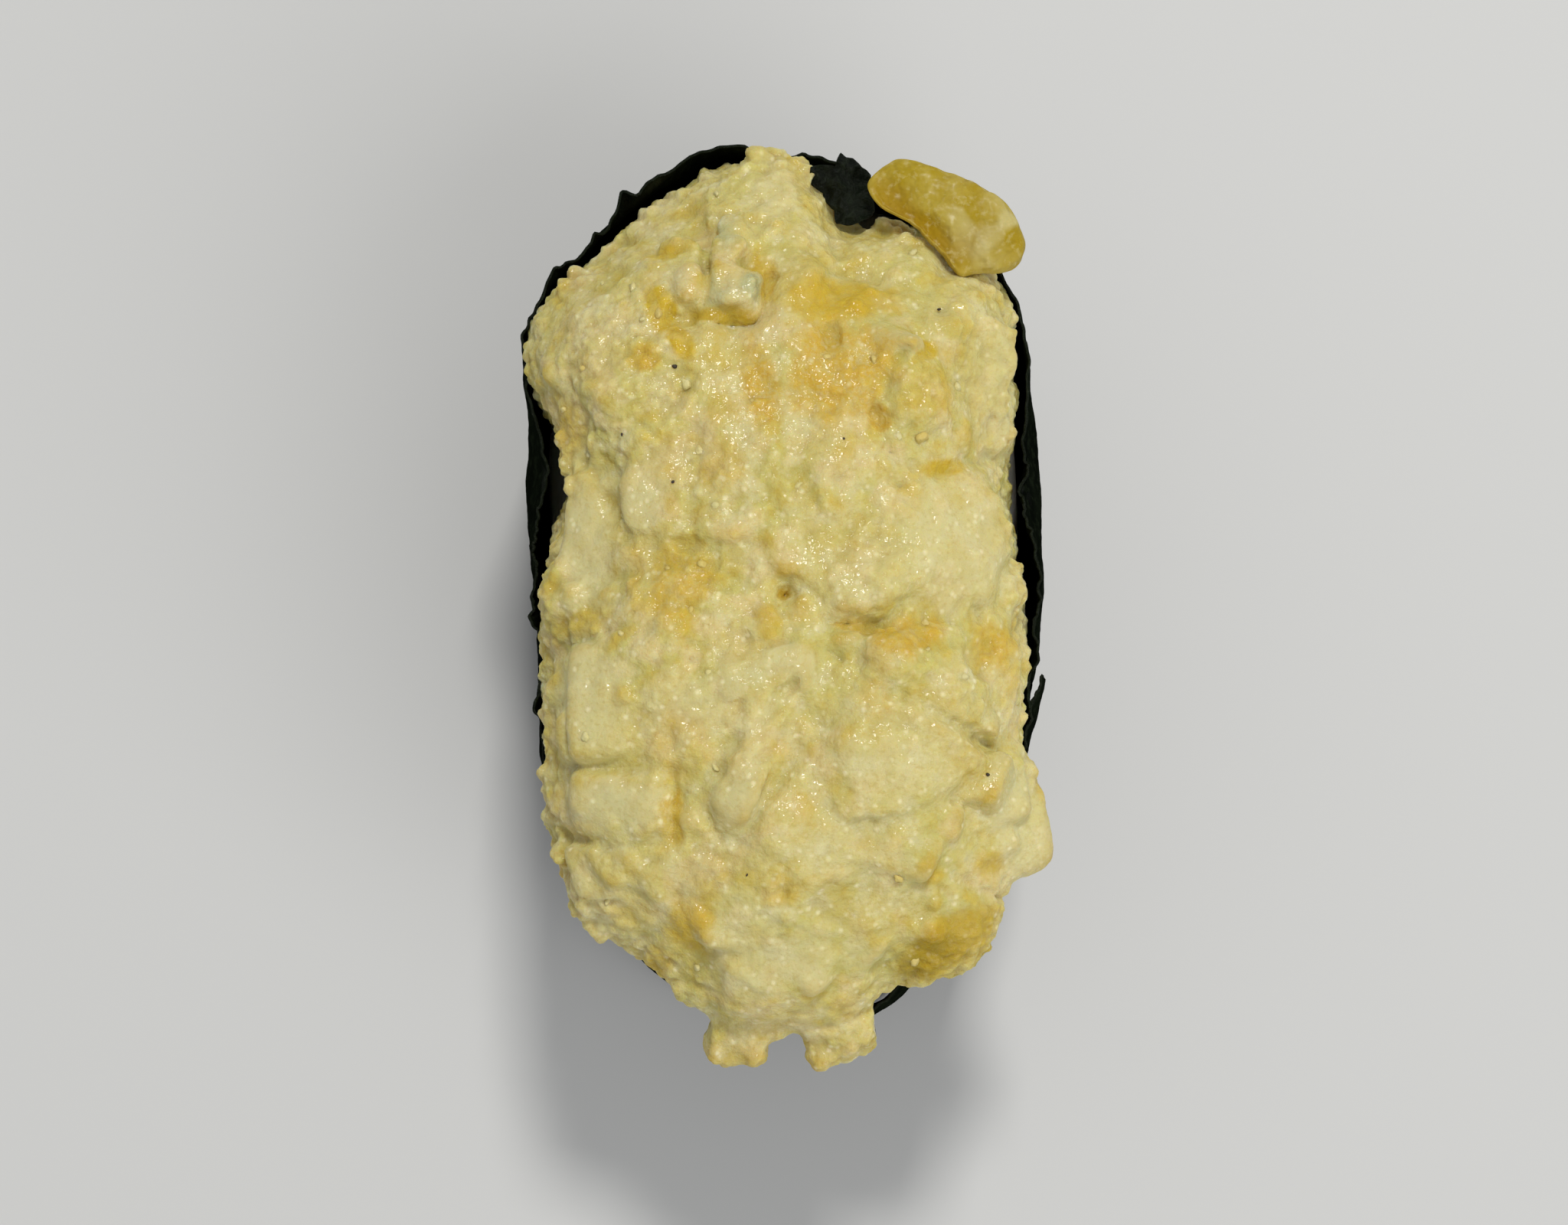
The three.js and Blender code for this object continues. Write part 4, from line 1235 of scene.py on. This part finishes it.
def egg_material(name, soften):
    """Mayonnaise mix, and the cut pieces of white and yolk where they show."""
    mat, nt, bsdf = principled(name)
    co = nt.nodes.new("ShaderNodeTexCoord")
    broad = noise_tex(nt, co, 4.2, 2.0)
    middle = noise_tex(nt, co, 1.5, 3.0)
    grain = noise_tex(nt, co, 0.30, 2.0, 0.6)
    tone = attribute(nt, "tone")
    colour = mix_colour(nt, ramp(nt, (broad, 0), 0.40, 0.60), CREAM_GREEN, CREAM)
    colour = mix_colour(nt, ramp(nt, (tone, 2), 0.48, 0.76), colour, CREAM_PINK)
    colour = mix_colour(
        nt, maths(nt, "MULTIPLY", ramp(nt, (middle, 0), 0.52, 0.66), 0.75), colour, WHITE
    )
    yellow = maths(nt, "MULTIPLY", ramp(nt, (middle, 0), 0.46, 0.34), 0.45)
    colour = mix_colour(nt, yellow, colour, GOLD)
    pale = maths(nt, "MULTIPLY", (attribute(nt, "pale"), 2), 0.75, clamp=True)
    colour = mix_colour(nt, pale, colour, WHITE)
    spots = ramp(nt, (attribute(nt, "speck"), 2), 0.30, 0.68)
    gold = maths(nt, "MULTIPLY", (attribute(nt, "gold"), 2), 0.95, clamp=True)
    gold = maths(nt, "MULTIPLY", gold, maths(nt, "ADD", maths(nt, "MULTIPLY", spots, 0.3), 0.75))
    colour = mix_colour(nt, gold, colour, GOLD)
    orange = maths(nt, "MULTIPLY", (attribute(nt, "orange"), 2), 0.95, clamp=True)
    orange = maths(nt, "MULTIPLY", orange, maths(nt, "ADD", maths(nt, "MULTIPLY", spots, 0.6), 0.55))
    colour = mix_colour(nt, orange, colour, ORANGE)
    for key, (one, two) in CUTS.items():
        cut = mix_colour(nt, ramp(nt, (middle, 0), 0.38, 0.62), one, two)
        bare = maths(nt, "MULTIPLY", (attribute(nt, key), 2), 0.9)
        colour = mix_colour(nt, bare, colour, cut)
    # Deep amber where yolk shows through, and painted shade under the clear crumb.
    amber = maths(nt, "MULTIPLY", (attribute(nt, "amber"), 2), 0.85, clamp=True)
    colour = mix_colour(nt, amber, colour, AMBER)
    # Painted shade: hollows and sunken spots are painted deep gold, but not those of the clear pieces.
    cloudy = maths(nt, "SUBTRACT", 1.0, (attribute(nt, "clear"), 2), clamp=True)
    low = maths(nt, "MULTIPLY", ramp(nt, (attribute(nt, "low"), 2), 0.0, 0.9), 0.25)
    colour = mix_colour(nt, maths(nt, "MULTIPLY", low, cloudy), colour, DEEP_GRAIN_AND_SHADE)
    hollow = maths(nt, "MULTIPLY", ramp(nt, (attribute(nt, "hollow"), 2), 0.10, 1.0), 0.75)
    colour = mix_colour(nt, maths(nt, "MULTIPLY", hollow, cloudy), colour, DEEP_GRAIN_AND_SHADE)
    # Chopped yolk: fine grains of several yellows.
    grains = attribute(nt, "crumb")
    rich = maths(nt, "MULTIPLY", ramp(nt, (grain, 0), 0.48, 0.60), 0.55)
    rich = maths(nt, "MULTIPLY", rich, (grains, 2))
    colour = mix_colour(nt, rich, colour, ORANGE)
    light = maths(nt, "MULTIPLY", ramp(nt, (grain, 0), 0.47, 0.38), 0.45)
    light = maths(nt, "MULTIPLY", light, (grains, 2))
    colour = mix_colour(nt, light, colour, CREAM_PINK)
    dark = maths(nt, "MULTIPLY", ramp(nt, (grain, 0), 0.47, 0.33), 0.2)
    colour = mix_colour(nt, dark, colour, DEEP_GRAIN_AND_SHADE)
    # Painted highlights: pale dots for tiny wet glints, which also stand for drops of fat.
    glints_and_drops = droplets(nt, co, 0.66, 0.08, 0.30)
    many = maths(nt, "MULTIPLY", ramp(nt, (middle, 0), 0.36, 0.60), 0.6)
    many = maths(nt, "MULTIPLY", many, ramp(nt, (attribute(nt, "gold"), 2), 1.1, 0.2))
    colour = mix_colour(nt, maths(nt, "MULTIPLY", glints_and_drops, many), colour, PALE)
    if soften == 0:
        # Painted light: no light comes through a loose crumb from below, so its colour is lightened to stand in for
        # that light.
        colour = mix_colour(nt, 0.15, colour, PALE)
    nt.links.new(colour[0].outputs[colour[1]], bsdf.inputs["Base Color"])
    # Cut white is smoother than the mix.
    white = maths(nt, "MULTIPLY", (attribute(nt, "white"), 2), -0.35)
    smooth = maths(nt, "ADD", maths(nt, "MULTIPLY", (attribute(nt, "pale"), 2), -0.35), white)
    rest = maths(nt, "ADD", smooth, 1.0, clamp=True)
    wet(nt, bsdf, co, (middle, broad), 0.30, 0.50, 1.0, soften, rest)
    return mat


heap.data.materials.append(egg_material("egg in mayonnaise", 0.65))
crumbs.data.materials.append(egg_material("egg crumbs", 0.0))
for piece in (heap, crumbs):
    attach(piece, "root")
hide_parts("egg_mayonnaise")


# Flecks of ground pepper: place as seen, size.
PEPPER = [
    (-6.2, 12.3, 0.15), (-6.3, 5.7, 0.11), (-9.2, 8.4, 0.10), (11.5, -11.0, 0.12),
    (8.8, 15.5, 0.11), (-2.1, -16.6, 0.08), (3.4, 8.1, 0.08),
]  # fmt: skip


def make_pepper():
    """Small dark crumbs, each half sunk in the heap."""
    top = SKIN[SKIN_NORMAL[:, 2] > 0.2]
    v, quads, tris = ball(14, 8)
    points, faces4, faces3 = [], [], []
    for k, (x, y, size) in enumerate(PEPPER):
        px, py, pz = on_heap(x, y, skin)
        near = top[np.hypot(top[:, 0] - px, top[:, 1] - py) < 0.5]
        if len(near):
            pz = float(near[:, 2].mean())
        shape = v * np.array([1.0, 0.75, 0.7])
        shape = shape * (1 + 0.35 * noise(shape + 3.7 * k, 0.8, 811 + k))[:, None]
        base = 0 if not points else sum(len(p) for p in points)
        points.append(shape @ turn_matrix(47.0 * k, 20, 10).T * size + [px, py, pz + 0.3 * size])
        faces4.append(quads + base)
        faces3.append(tris + base)
    return build("pepper_specks", np.concatenate(points), faces4 + faces3)


# ------------------------------------------------------------------- seaweed
def lap_offset(along):
    climb = smoothstep(along, 360 - 22, 360 - 2)
    end = 360 + LAP_LENGTH
    spring = smoothstep(along, end - 16, end)
    return 0.42 * climb + 0.3 * spring


def make_seaweed():
    na, nz = ((860, 50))
    thick = 0.26
    along = np.linspace(0, 360 + LAP_LENGTH, na)
    share = 1 - (1 - np.linspace(0, 1, nz)) ** 1.5
    a2, s2 = np.meshgrid(along, share, indexing="ij")
    theta = np.radians(LAP_START + a2)
    edge = np.stack([a2[:, 0] * 0.36, np.zeros(na), np.zeros(na)], 1)
    torn = 0.42 * fbm(edge, 2.6, 61, 4, 0.6) + 0.45 * np.abs(fbm(edge, 0.6, 67, 2))
    foot = WALL_FOOT + 0.10 + 0.12 * fbm(edge, 3.0, 71, 3)
    # Behind the flap the edge is only as high as elsewhere.
    top = wall_top(theta[:, 0]) - 0.25 + torn - 1.8 * bump(theta[:, 0], 80, 8)
    z = foot[:, None] + s2 * (top - foot)[:, None]
    r = wall_radius(theta, z) + lap_offset(a2)
    x0, y0 = r * np.cos(theta), r * np.sin(theta)
    flat = np.stack([a2.ravel() * 0.36, z.ravel(), np.zeros(z.size)], 1)

    def on(size_along, size_up, seed, octaves=3):
        q = flat * np.array([1 / size_along, 1 / size_up, 1.0])
        return fbm(q, 1.0, seed, octaves).reshape(z.shape)

    grains = on(4.0, 3.0, 73, 2) * smoothstep(z, 22, 17)
    ridges = 1 - np.abs(on(3.4, 9.0, 79, 3)) * 2
    crinkle = on(1.1, 1.6, 83, 3)
    loose = smoothstep(z, 20, 27)
    out = (
        0.26 * grains
        + 0.16 * ridges * (0.5 + loose)
        + 0.07 * crinkle * (0.6 + 1.2 * loose)
        + 0.035 * on(0.45, 0.7, 87, 2)
        + 0.45 * loose * on(6.0, 14.0, 89, 2)
    )
    # The cut edge is crinkled, with small torn bits that stand out of it.
    down = top[:, None] - z
    frill = np.exp(-((down / 1.6) ** 2))
    bits = smoothstep(noise(edge, 1.5, 91), 0.25, 0.7)[:, None] * np.exp(-((down / 0.7) ** 2))
    tab = bump(theta, 112.6, 1.7) * np.exp(-((down / 1.3) ** 2))
    frayed = 0.25 + 0.75 * smoothstep(noise(edge, 4.0, 99), 0.0, 0.5)
    shreds = (frayed * noise(edge, 0.45, 97))[:, None] * np.exp(-((down / 0.45) ** 2))
    out = out + 0.14 * frill * on(0.9, 2.2, 93, 3) + 0.20 * shreds + 0.40 * bits + 1.1 * tab
    outer = np.stack([x0 + out * np.cos(theta), y0 + out * np.sin(theta), z], 2)
    du = np.gradient(outer, axis=0)
    dv = np.gradient(outer, axis=1)
    n = np.cross(du, dv)
    n /= np.maximum(np.linalg.norm(n, axis=2, keepdims=True), 1e-9)
    slim = thick * (0.55 + 0.45 * np.minimum(1, 6 * np.minimum(s2, 1 - s2) + 0.1))
    inner = outer - n * slim[:, :, None]
    pts = np.concatenate([outer.reshape(-1, 3), inner.reshape(-1, 3)])
    m = na * nz
    i = np.arange(na - 1)[:, None] * nz + np.arange(nz - 1)[None, :]
    i = i.ravel()
    front = np.stack([i, i + nz, i + nz + 1, i + 1], 1)
    back = front[:, ::-1] + m
    row = np.arange(na - 1) * nz
    foot_faces = np.stack([row, row + m, row + nz + m, row + nz], 1)
    top_row = row + nz - 1
    top_faces = np.stack([top_row, top_row + nz, top_row + nz + m, top_row + m], 1)
    col = np.arange(nz - 1)
    start = np.stack([col, col + 1, col + 1 + m, col + m], 1)
    last = (na - 1) * nz + col
    finish = np.stack([last, last + m, last + 1 + m, last + 1], 1)
    rim_share = np.clip(1 - np.minimum(s2, 1 - s2) * 60, 0, 1).ravel()
    flap, flap_quads, flap_tris, flap_edge = make_flap()
    strip = np.concatenate([front, back, foot_faces, top_faces, start, finish])
    ob = build(
        "seaweed_strip",
        np.concatenate([pts, flap]),
        [strip, flap_quads + len(pts), flap_tris + len(pts)],
    )
    paint(ob, edge=np.concatenate([rim_share, rim_share, flap_edge]))
    return ob


def seaweed_material():
    mat, nt, bsdf = principled("damp seaweed")
    co = nt.nodes.new("ShaderNodeTexCoord")
    broad = noise_tex(nt, co, 6.0, 3.0)
    fibre = nt.nodes.new("ShaderNodeTexNoise")
    stretch = nt.nodes.new("ShaderNodeMapping")
    stretch.inputs["Scale"].default_value = (1.0, 1.0, 0.35)
    stretch.inputs["Rotation"].default_value = (0.35, 0.2, 0.0)
    nt.links.new(co.outputs["Object"], stretch.inputs["Vector"])
    nt.links.new(stretch.outputs[0], fibre.inputs["Vector"])
    fibre.inputs["Scale"].default_value = 1 / (0.55 * MM)
    fibre.inputs["Detail"].default_value = 5.0
    fibre.inputs["Roughness"].default_value = 0.65
    colour = mix_colour(nt, ramp(nt, (broad, 0), 0.35, 0.65), (0.0026, 0.0034, 0.0025), (0.0056, 0.0080, 0.0044))
    colour = mix_colour(nt, ramp(nt, (fibre, 0), 0.50, 0.78), colour, (0.015, 0.021, 0.011))
    # Painted light: the thin cut edge is painted a lighter green, for light that shows through it.
    edge = maths(nt, "MULTIPLY", (attribute(nt, "edge"), 2), 0.5)
    colour = mix_colour(nt, edge, colour, (0.008, 0.012, 0.005))
    nt.links.new(colour[0].outputs[colour[1]], bsdf.inputs["Base Color"])
    r = nt.nodes.new("ShaderNodeMapRange")
    r.inputs["From Min"].default_value = 0.3
    r.inputs["From Max"].default_value = 0.7
    r.inputs["To Min"].default_value = 0.42
    r.inputs["To Max"].default_value = 0.75
    nt.links.new(broad.outputs[0], r.inputs["Value"])
    nt.links.new(r.outputs[0], bsdf.inputs["Roughness"])
    bsdf.inputs["Specular IOR Level"].default_value = 0.0
    b = nt.nodes.new("ShaderNodeBump")
    b.inputs["Strength"].default_value = 0.7
    b.inputs["Distance"].default_value = 0.00025
    nt.links.new(fibre.outputs[0], b.inputs["Height"])
    nt.links.new(b.outputs["Normal"], bsdf.inputs["Normal"])
    # Damp spots that catch the light, but no haze where it is seen edge on.
    facing = nt.nodes.new("ShaderNodeLayerWeight")
    facing.inputs["Blend"].default_value = 0.5
    damp = maths(nt, "MULTIPLY", ramp(nt, (facing, "Facing"), 0.80, 0.35), 0.26)
    nt.links.new(damp[0].outputs[damp[1]], bsdf.inputs["Coat Weight"])
    bsdf.inputs["Coat Roughness"].default_value = 0.26
    bsdf.inputs["Coat IOR"].default_value = 1.5
    bumped(nt, (fibre, 0), 0.45, 1.0, bsdf.inputs["Coat Normal"])
    return mat


# ---------------------------------------------------------------- yolk slice
def slab(outline, height, middle, power, nr, nu, soften):
    """A flat pebble on an outline: points, faces, and each point's up from -1 to 1."""
    outline = np.array([seen(x, y, height) for x, y in outline])
    middle = np.array(seen(*middle, height))
    away = outline - middle
    angles = np.arctan2(away[:, 1], away[:, 0])
    order = np.argsort(angles)
    fine = np.linspace(-np.pi, np.pi, 720, endpoint=False)
    reach = np.interp(fine, angles[order], np.hypot(away[:, 0], away[:, 1])[order], period=2 * np.pi)
    window = np.hanning(soften)
    reach = np.convolve(np.tile(reach, 3), window / window.sum(), "same")[720:1440]
    v, quads, tris = ball(nr, nu)
    flat = np.hypot(v[:, 0], v[:, 1])
    size = (flat**power + np.abs(v[:, 2]) ** power) ** (-1 / power)
    share, up = flat * size, v[:, 2] * size
    turn = np.arctan2(v[:, 1], v[:, 0])
    r = np.interp(turn, fine, reach, period=2 * np.pi) * share
    return middle[0] + r * np.cos(turn), middle[1] + r * np.sin(turn), share, up, quads, tris


# Outline of the slice as seen, from its left tip round by the far side.
SLICE = [
    (4.6, 22.5), (4.95, 23.05), (5.6, 23.6), (6.35, 24.05), (7.1, 23.95), (8.1, 23.6), (9.1, 23.25),
    (10.0, 22.95), (11.2, 22.45), (12.1, 21.85), (12.9, 21.0), (13.5, 20.1), (13.8, 19.2), (13.6, 18.4),
    (13.0, 17.8), (12.2, 17.6), (11.4, 17.65), (10.7, 17.45), (10.0, 17.2), (9.5, 17.8), (9.05, 18.45),
    (8.55, 18.95), (8.05, 19.4), (7.6, 19.95), (7.0, 20.4), (6.25, 20.8), (5.5, 21.15), (4.95, 21.7),
]  # fmt: skip


def make_yolk_slice():
    nr, nu = ((260, 150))
    x, y, share, up, quads, tris = slab(SLICE, 31.5, (9.4, 20.7), 3.0, nr, nu, 25)
    # thin along the hollow near side, thick at the right end
    along = (x - 9.4) * 0.83 - (y - 20.7) * 0.56
    across = (x - 9.4) * 0.56 + (y - 20.7) * 0.83
    thick = 0.95 + 0.09 * along + 0.10 * across
    z = 31.7 + up * thick - 0.055 * along - 0.10 * across - 0.02 * along**2
    # The near side is scooped out behind a thin raised lip.
    top = np.clip(up, 0, 1)
    scoop = np.exp(-(((along + 0.9) / 3.4) ** 4)) * smoothstep(share, 0.20, 0.72)
    scoop = scoop * smoothstep(-across, 0.1, 1.2)
    z = z - top * 0.42 * scoop * (1 - 0.8 * smoothstep(share, 0.86, 0.97))
    p = np.stack([x, y, z], 1)
    n = normals_of(p, [quads, tris])
    lumpy = smoothstep(along + 0.6 * across, -1.5, 2.4)
    wave, gap, own, dome = chopped(p, 1.5, 501)
    rise = (
        (0.04 + 0.11 * lumpy) * wave
        + (0.02 + 0.11 * lumpy) * (dome - 0.5)
        + 0.07 * fbm(p, 1.9, 101, 2)
        + 0.012 * fbm(p, 0.35, 103, 2)
    )
    p = p + n * rise[:, None]
    ob = build("yolk_slice", p, [quads, tris])
    # The scooped near side and sunken spots carry painted shade, and the thin lip a painted highlight.
    lip = smoothstep(share, 0.88, 0.97) * smoothstep(-across, 0.2, 1.0) * (up > -0.2)
    paint(ob, tone=own, low=np.clip(-rise / 0.15, -1, 1), amber=scoop, lumpy=lumpy, lip=lip)
    return ob


def yolk_material():
    mat, nt, bsdf = principled("firm yolk")
    co = nt.nodes.new("ShaderNodeTexCoord")
    broad = noise_tex(nt, co, 1.8, 3.0, 0.6, 0.4)
    fine = noise_tex(nt, co, 0.45, 3.0, 0.6)
    colour = mix_colour(nt, ramp(nt, (broad, 0), 0.40, 0.62), (0.375, 0.268, 0.016), (0.430, 0.325, 0.045))
    lumps = maths(nt, "MULTIPLY", (attribute(nt, "lumpy"), 2), ramp(nt, (attribute(nt, "tone"), 2), 0.35, 0.8))
    colour = mix_colour(nt, maths(nt, "MULTIPLY", lumps, 0.85), colour, (0.540, 0.465, 0.190))
    # Painted shade: the scooped near side is darker amber.
    colour = mix_colour(nt, maths(nt, "MULTIPLY", (attribute(nt, "amber"), 2), 0.85), colour, (0.330, 0.195, 0.006))
    # Painted highlight: the thin raised lip is lighter.
    colour = mix_colour(nt, maths(nt, "MULTIPLY", (attribute(nt, "lip"), 2), 0.6), colour, (0.480, 0.360, 0.060))
    # Painted shade: sunken spots are darker.
    low = ramp(nt, (attribute(nt, "low"), 2), 0.0, 1.0)
    colour = mix_colour(nt, maths(nt, "MULTIPLY", low, 0.3), colour, (0.32, 0.20, 0.012))
    pale = maths(nt, "MULTIPLY", ramp(nt, (fine, 0), 0.54, 0.72), 0.45)
    colour = mix_colour(nt, pale, colour, (0.62, 0.53, 0.24))
    nt.links.new(colour[0].outputs[colour[1]], bsdf.inputs["Base Color"])
    wet(nt, bsdf, co, (broad, broad), 0.34, 0.50, 0.8, 0.3, None, 1.1, 0.28, 0.3)
    return mat


# The torn flap of seaweed folded in over the heap, outline as seen.
FLAP = [
    (1.5, 23.5), (2.1, 23.6), (2.9, 23.45), (3.2, 24.2), (3.5, 24.0), (3.9, 24.0), (4.4, 23.5), (4.95, 23.05),
    (4.7, 22.5), (5.1, 21.5), (5.15, 21.0), (4.6, 20.5), (3.8, 20.3), (2.95, 20.4), (2.85, 21.2), (2.2, 22.2), (1.5, 22.7),
]  # fmt: skip


def make_flap():
    x, y, share, up, quads, tris = slab(FLAP, 30.0, (3.5, 22.3), 5.0, 150, 60, 5)
    flat = np.stack([x, y, np.zeros(len(x))], 1)
    z = 30.0 + 0.20 * (y - 22.3) + 0.10 * (x - 3.5)
    z = z + 0.95 * (0.4 - np.abs(fbm(flat, 1.7, 601, 3))) + 0.26 * (0.4 - np.abs(noise(flat, 0.55, 607)))
    z = z + 0.5 * share**2 * noise(flat, 1.2, 611)
    p = np.stack([x, y, z + 0.13 * up], 1)
    edge = np.clip((share - 0.9) * 8, 0, 1)
    return p, quads, tris, edge


seaweed = make_seaweed()
seaweed.data.materials.append(seaweed_material())
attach(seaweed, "root")
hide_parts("seaweed")


pepper = make_pepper()
mat, nt, bsdf = principled("ground pepper")
co = nt.nodes.new("ShaderNodeTexCoord")
tint = mix_colour(
    nt, ramp(nt, (noise_tex(nt, co, 0.12, 2.0), 0), 0.4, 0.65), (0.012, 0.008, 0.005), (0.055, 0.035, 0.018)
)
nt.links.new(tint[0].outputs[tint[1]], bsdf.inputs["Base Color"])
bsdf.inputs["Roughness"].default_value = 0.6
pepper.data.materials.append(mat)
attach(pepper, "root")

yolk = make_yolk_slice()
yolk.data.materials.append(yolk_material())
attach(yolk, "root")
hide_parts("yolk_piece")


# ---------------------------------------------------------------------- rice
def make_rice_core():
    na, levels = 120, [0.9, 1.3, 3.0, 8.0, 14.0, 18.6, 19.6]
    theta = np.linspace(0, 2 * np.pi, na, endpoint=False)
    inset = [2.2, 1.5, 1.0, 0.9, 0.9, 1.2, 2.2]
    rings = []
    for z, i in zip(levels, inset):
        r = wall_radius(theta, z) - 0.3 - i
        rings.append(np.stack([r * np.cos(theta), r * np.sin(theta), np.full(na, z)], 1))
    pts = np.concatenate(rings + [[[0, 0, levels[0]], [0, 0, levels[-1]]]])
    a = np.arange(na)
    b = (a + 1) % na
    quads = np.concatenate(
        [np.stack([k * na + a, k * na + b, (k + 1) * na + b, (k + 1) * na + a], 1) for k in range(len(levels) - 1)]
    )
    base, cap = len(levels) * na, len(levels) * na + 1
    tris = np.concatenate(
        [
            np.stack([np.full(na, base), b, a], 1),
            np.stack([np.full(na, cap), (len(levels) - 1) * na + a, (len(levels) - 1) * na + b], 1),
        ]
    )
    return build("rice_core", pts, [quads, tris])


def make_rice_grains():
    """Cooked short grains, pressed together and flat where they stand."""
    draw = np.random.default_rng(5)
    v, quads, tris = ball(12, 9)
    pts, qs, ts = [], [], []
    count = 0

    def grain(centre, turn):
        nonlocal count
        length = draw.uniform(2.5, 3.2)
        width = draw.uniform(1.25, 1.5)
        p = v * np.array([length, width, width * draw.uniform(0.82, 0.95)])
        p[:, 1] *= 1 + 0.10 * v[:, 0]
        p[:, 2] += 0.10 * (v[:, 0] ** 2) * draw.uniform(-1, 1)
        p = p @ turn.T + centre
        theta = np.arctan2(p[:, 1], p[:, 0])
        limit = wall_radius(theta, p[:, 2]) - 0.55
        r = np.hypot(p[:, 0], p[:, 1])
        k = np.minimum(1, limit / np.maximum(r, 1e-6))
        p[:, 0] *= k
        p[:, 1] *= k
        low = 0.03 * (1 + np.sin(3 * p[:, 0]) * np.sin(3 * p[:, 1]))
        p[:, 2] = np.where(p[:, 2] < 0.5, low + 0.5 * np.exp((p[:, 2] - 0.5) * 1.6) * 0.9, p[:, 2])
        pts.append(p)
        qs.append(quads + count)
        ts.append(tris + count)
        count += len(p)

    step = 3.1
    for layer, z in ((0, 0.95), (1, 2.5)):
        for i in range(-6, 7):
            for j in range(-10, 11):
                x = i * step + draw.uniform(-0.8, 0.8) + layer * 1.4
                y = j * step * 0.86 + draw.uniform(-0.8, 0.8) + layer * 1.1
                t = math.atan2(y, x)
                if math.hypot(x, y) > float(plan_radius(np.array([t]))[0]) - 1.5:
                    continue
                grain(
                    np.array([x, y, z + draw.uniform(-0.2, 0.2)]),
                    turn_matrix(draw.uniform(0, 180), draw.uniform(-14, 14), draw.uniform(-20, 20)),
                )
    # a ring of grains against the seaweed
    for k in range(46):
        t = 2 * math.pi * (k + draw.uniform(-0.3, 0.3)) / 46
        r = float(plan_radius(np.array([t]))[0]) - 1.5
        yaw = math.degrees(t) + 90 + draw.uniform(-40, 40)
        grain(
            np.array([r * math.cos(t), r * math.sin(t), draw.uniform(0.9, 1.4)]),
            turn_matrix(yaw, draw.uniform(-20, 20), draw.uniform(-20, 20)),
        )
    return build("rice_grains", np.concatenate(pts), [np.concatenate(qs), np.concatenate(ts)])


def rice_material():
    mat, nt, bsdf = principled("cooked rice")
    co = nt.nodes.new("ShaderNodeTexCoord")
    broad = noise_tex(nt, co, 2.5, 2.0)
    fine = noise_tex(nt, co, 0.4, 3.0)
    colour = mix_colour(nt, ramp(nt, (broad, 0), 0.35, 0.65), (0.72, 0.69, 0.58), (0.84, 0.82, 0.74))
    nt.links.new(colour[0].outputs[colour[1]], bsdf.inputs["Base Color"])
    bsdf.inputs["Subsurface Weight"].default_value = 0.35
    bsdf.inputs["Subsurface Radius"].default_value = (1.0, 0.8, 0.6)
    bsdf.inputs["Subsurface Scale"].default_value = 0.001
    bsdf.inputs["Roughness"].default_value = 0.38
    b = nt.nodes.new("ShaderNodeBump")
    b.inputs["Strength"].default_value = 0.3
    b.inputs["Distance"].default_value = 0.0001
    nt.links.new(fine.outputs[0], b.inputs["Height"])
    nt.links.new(b.outputs["Normal"], bsdf.inputs["Normal"])
    return mat


rice_look = rice_material()
rice_core = make_rice_core()
rice_grains = make_rice_grains()
for piece in (rice_core, rice_grains):
    piece.data.materials.append(rice_look)
    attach(piece, "root")
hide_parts("rice")


# --------------------------------------------------------- floor, light, camera
def make_floor():
    bpy.ops.mesh.primitive_plane_add(size=1.6, location=(0, 0, 0))
    ob = bpy.context.object
    ob.name = "floor"
    mat, nt, bsdf = principled("pale floor")
    bsdf.inputs["Base Color"].default_value = (0.62, 0.62, 0.61, 1)
    bsdf.inputs["Roughness"].default_value = 0.7
    ob.data.materials.append(mat)


def area(name, place, target, size, power, colour=(1, 1, 1)):
    lamp = bpy.data.lights.new(name, "AREA")
    lamp.shape = "RECTANGLE"
    lamp.size, lamp.size_y = size
    lamp.energy = power
    lamp.color = colour
    ob = bpy.data.objects.new(name, lamp)
    ob.location = place
    ob.rotation_euler = (Vector(target) - Vector(place)).to_track_quat("-Z", "Y").to_euler()
    bpy.context.scene.collection.objects.link(ob)


make_floor()
area("key", (0.05, 0.26, 0.57), (0, 0, 0.03), (0.09, 0.09), 2.0, (1.0, 0.985, 0.95))
area("fill", (0.30, -0.34, 0.45), (0, 0, 0.02), (0.5, 0.5), 1.6)

world = bpy.data.worlds.new("studio")
world.use_nodes = True
world.node_tree.nodes["Background"].inputs[0].default_value = (0.92, 0.94, 0.96, 1)
world.node_tree.nodes["Background"].inputs[1].default_value = 0.345
bpy.context.scene.world = world
bpy.context.scene.view_settings.view_transform = "Standard"

# Seen from nearly overhead and close by.
camera = bpy.data.cameras.new("camera")
camera.sensor_fit = "HORIZONTAL"
camera.sensor_width = 36.0
camera.lens = 80.9
camera.clip_start = 0.01
view = bpy.data.objects.new("camera", camera)
target = Vector((np.array(TARGET) + SHIFT) * MM)
e = math.radians(ELEVATION)
view.location = target + DISTANCE * MM * Vector((0, -math.cos(e), math.sin(e)))
view.rotation_euler = (target - view.location).to_track_quat("-Z", "Y").to_euler()
bpy.context.scene.collection.objects.link(view)
bpy.context.scene.camera = view
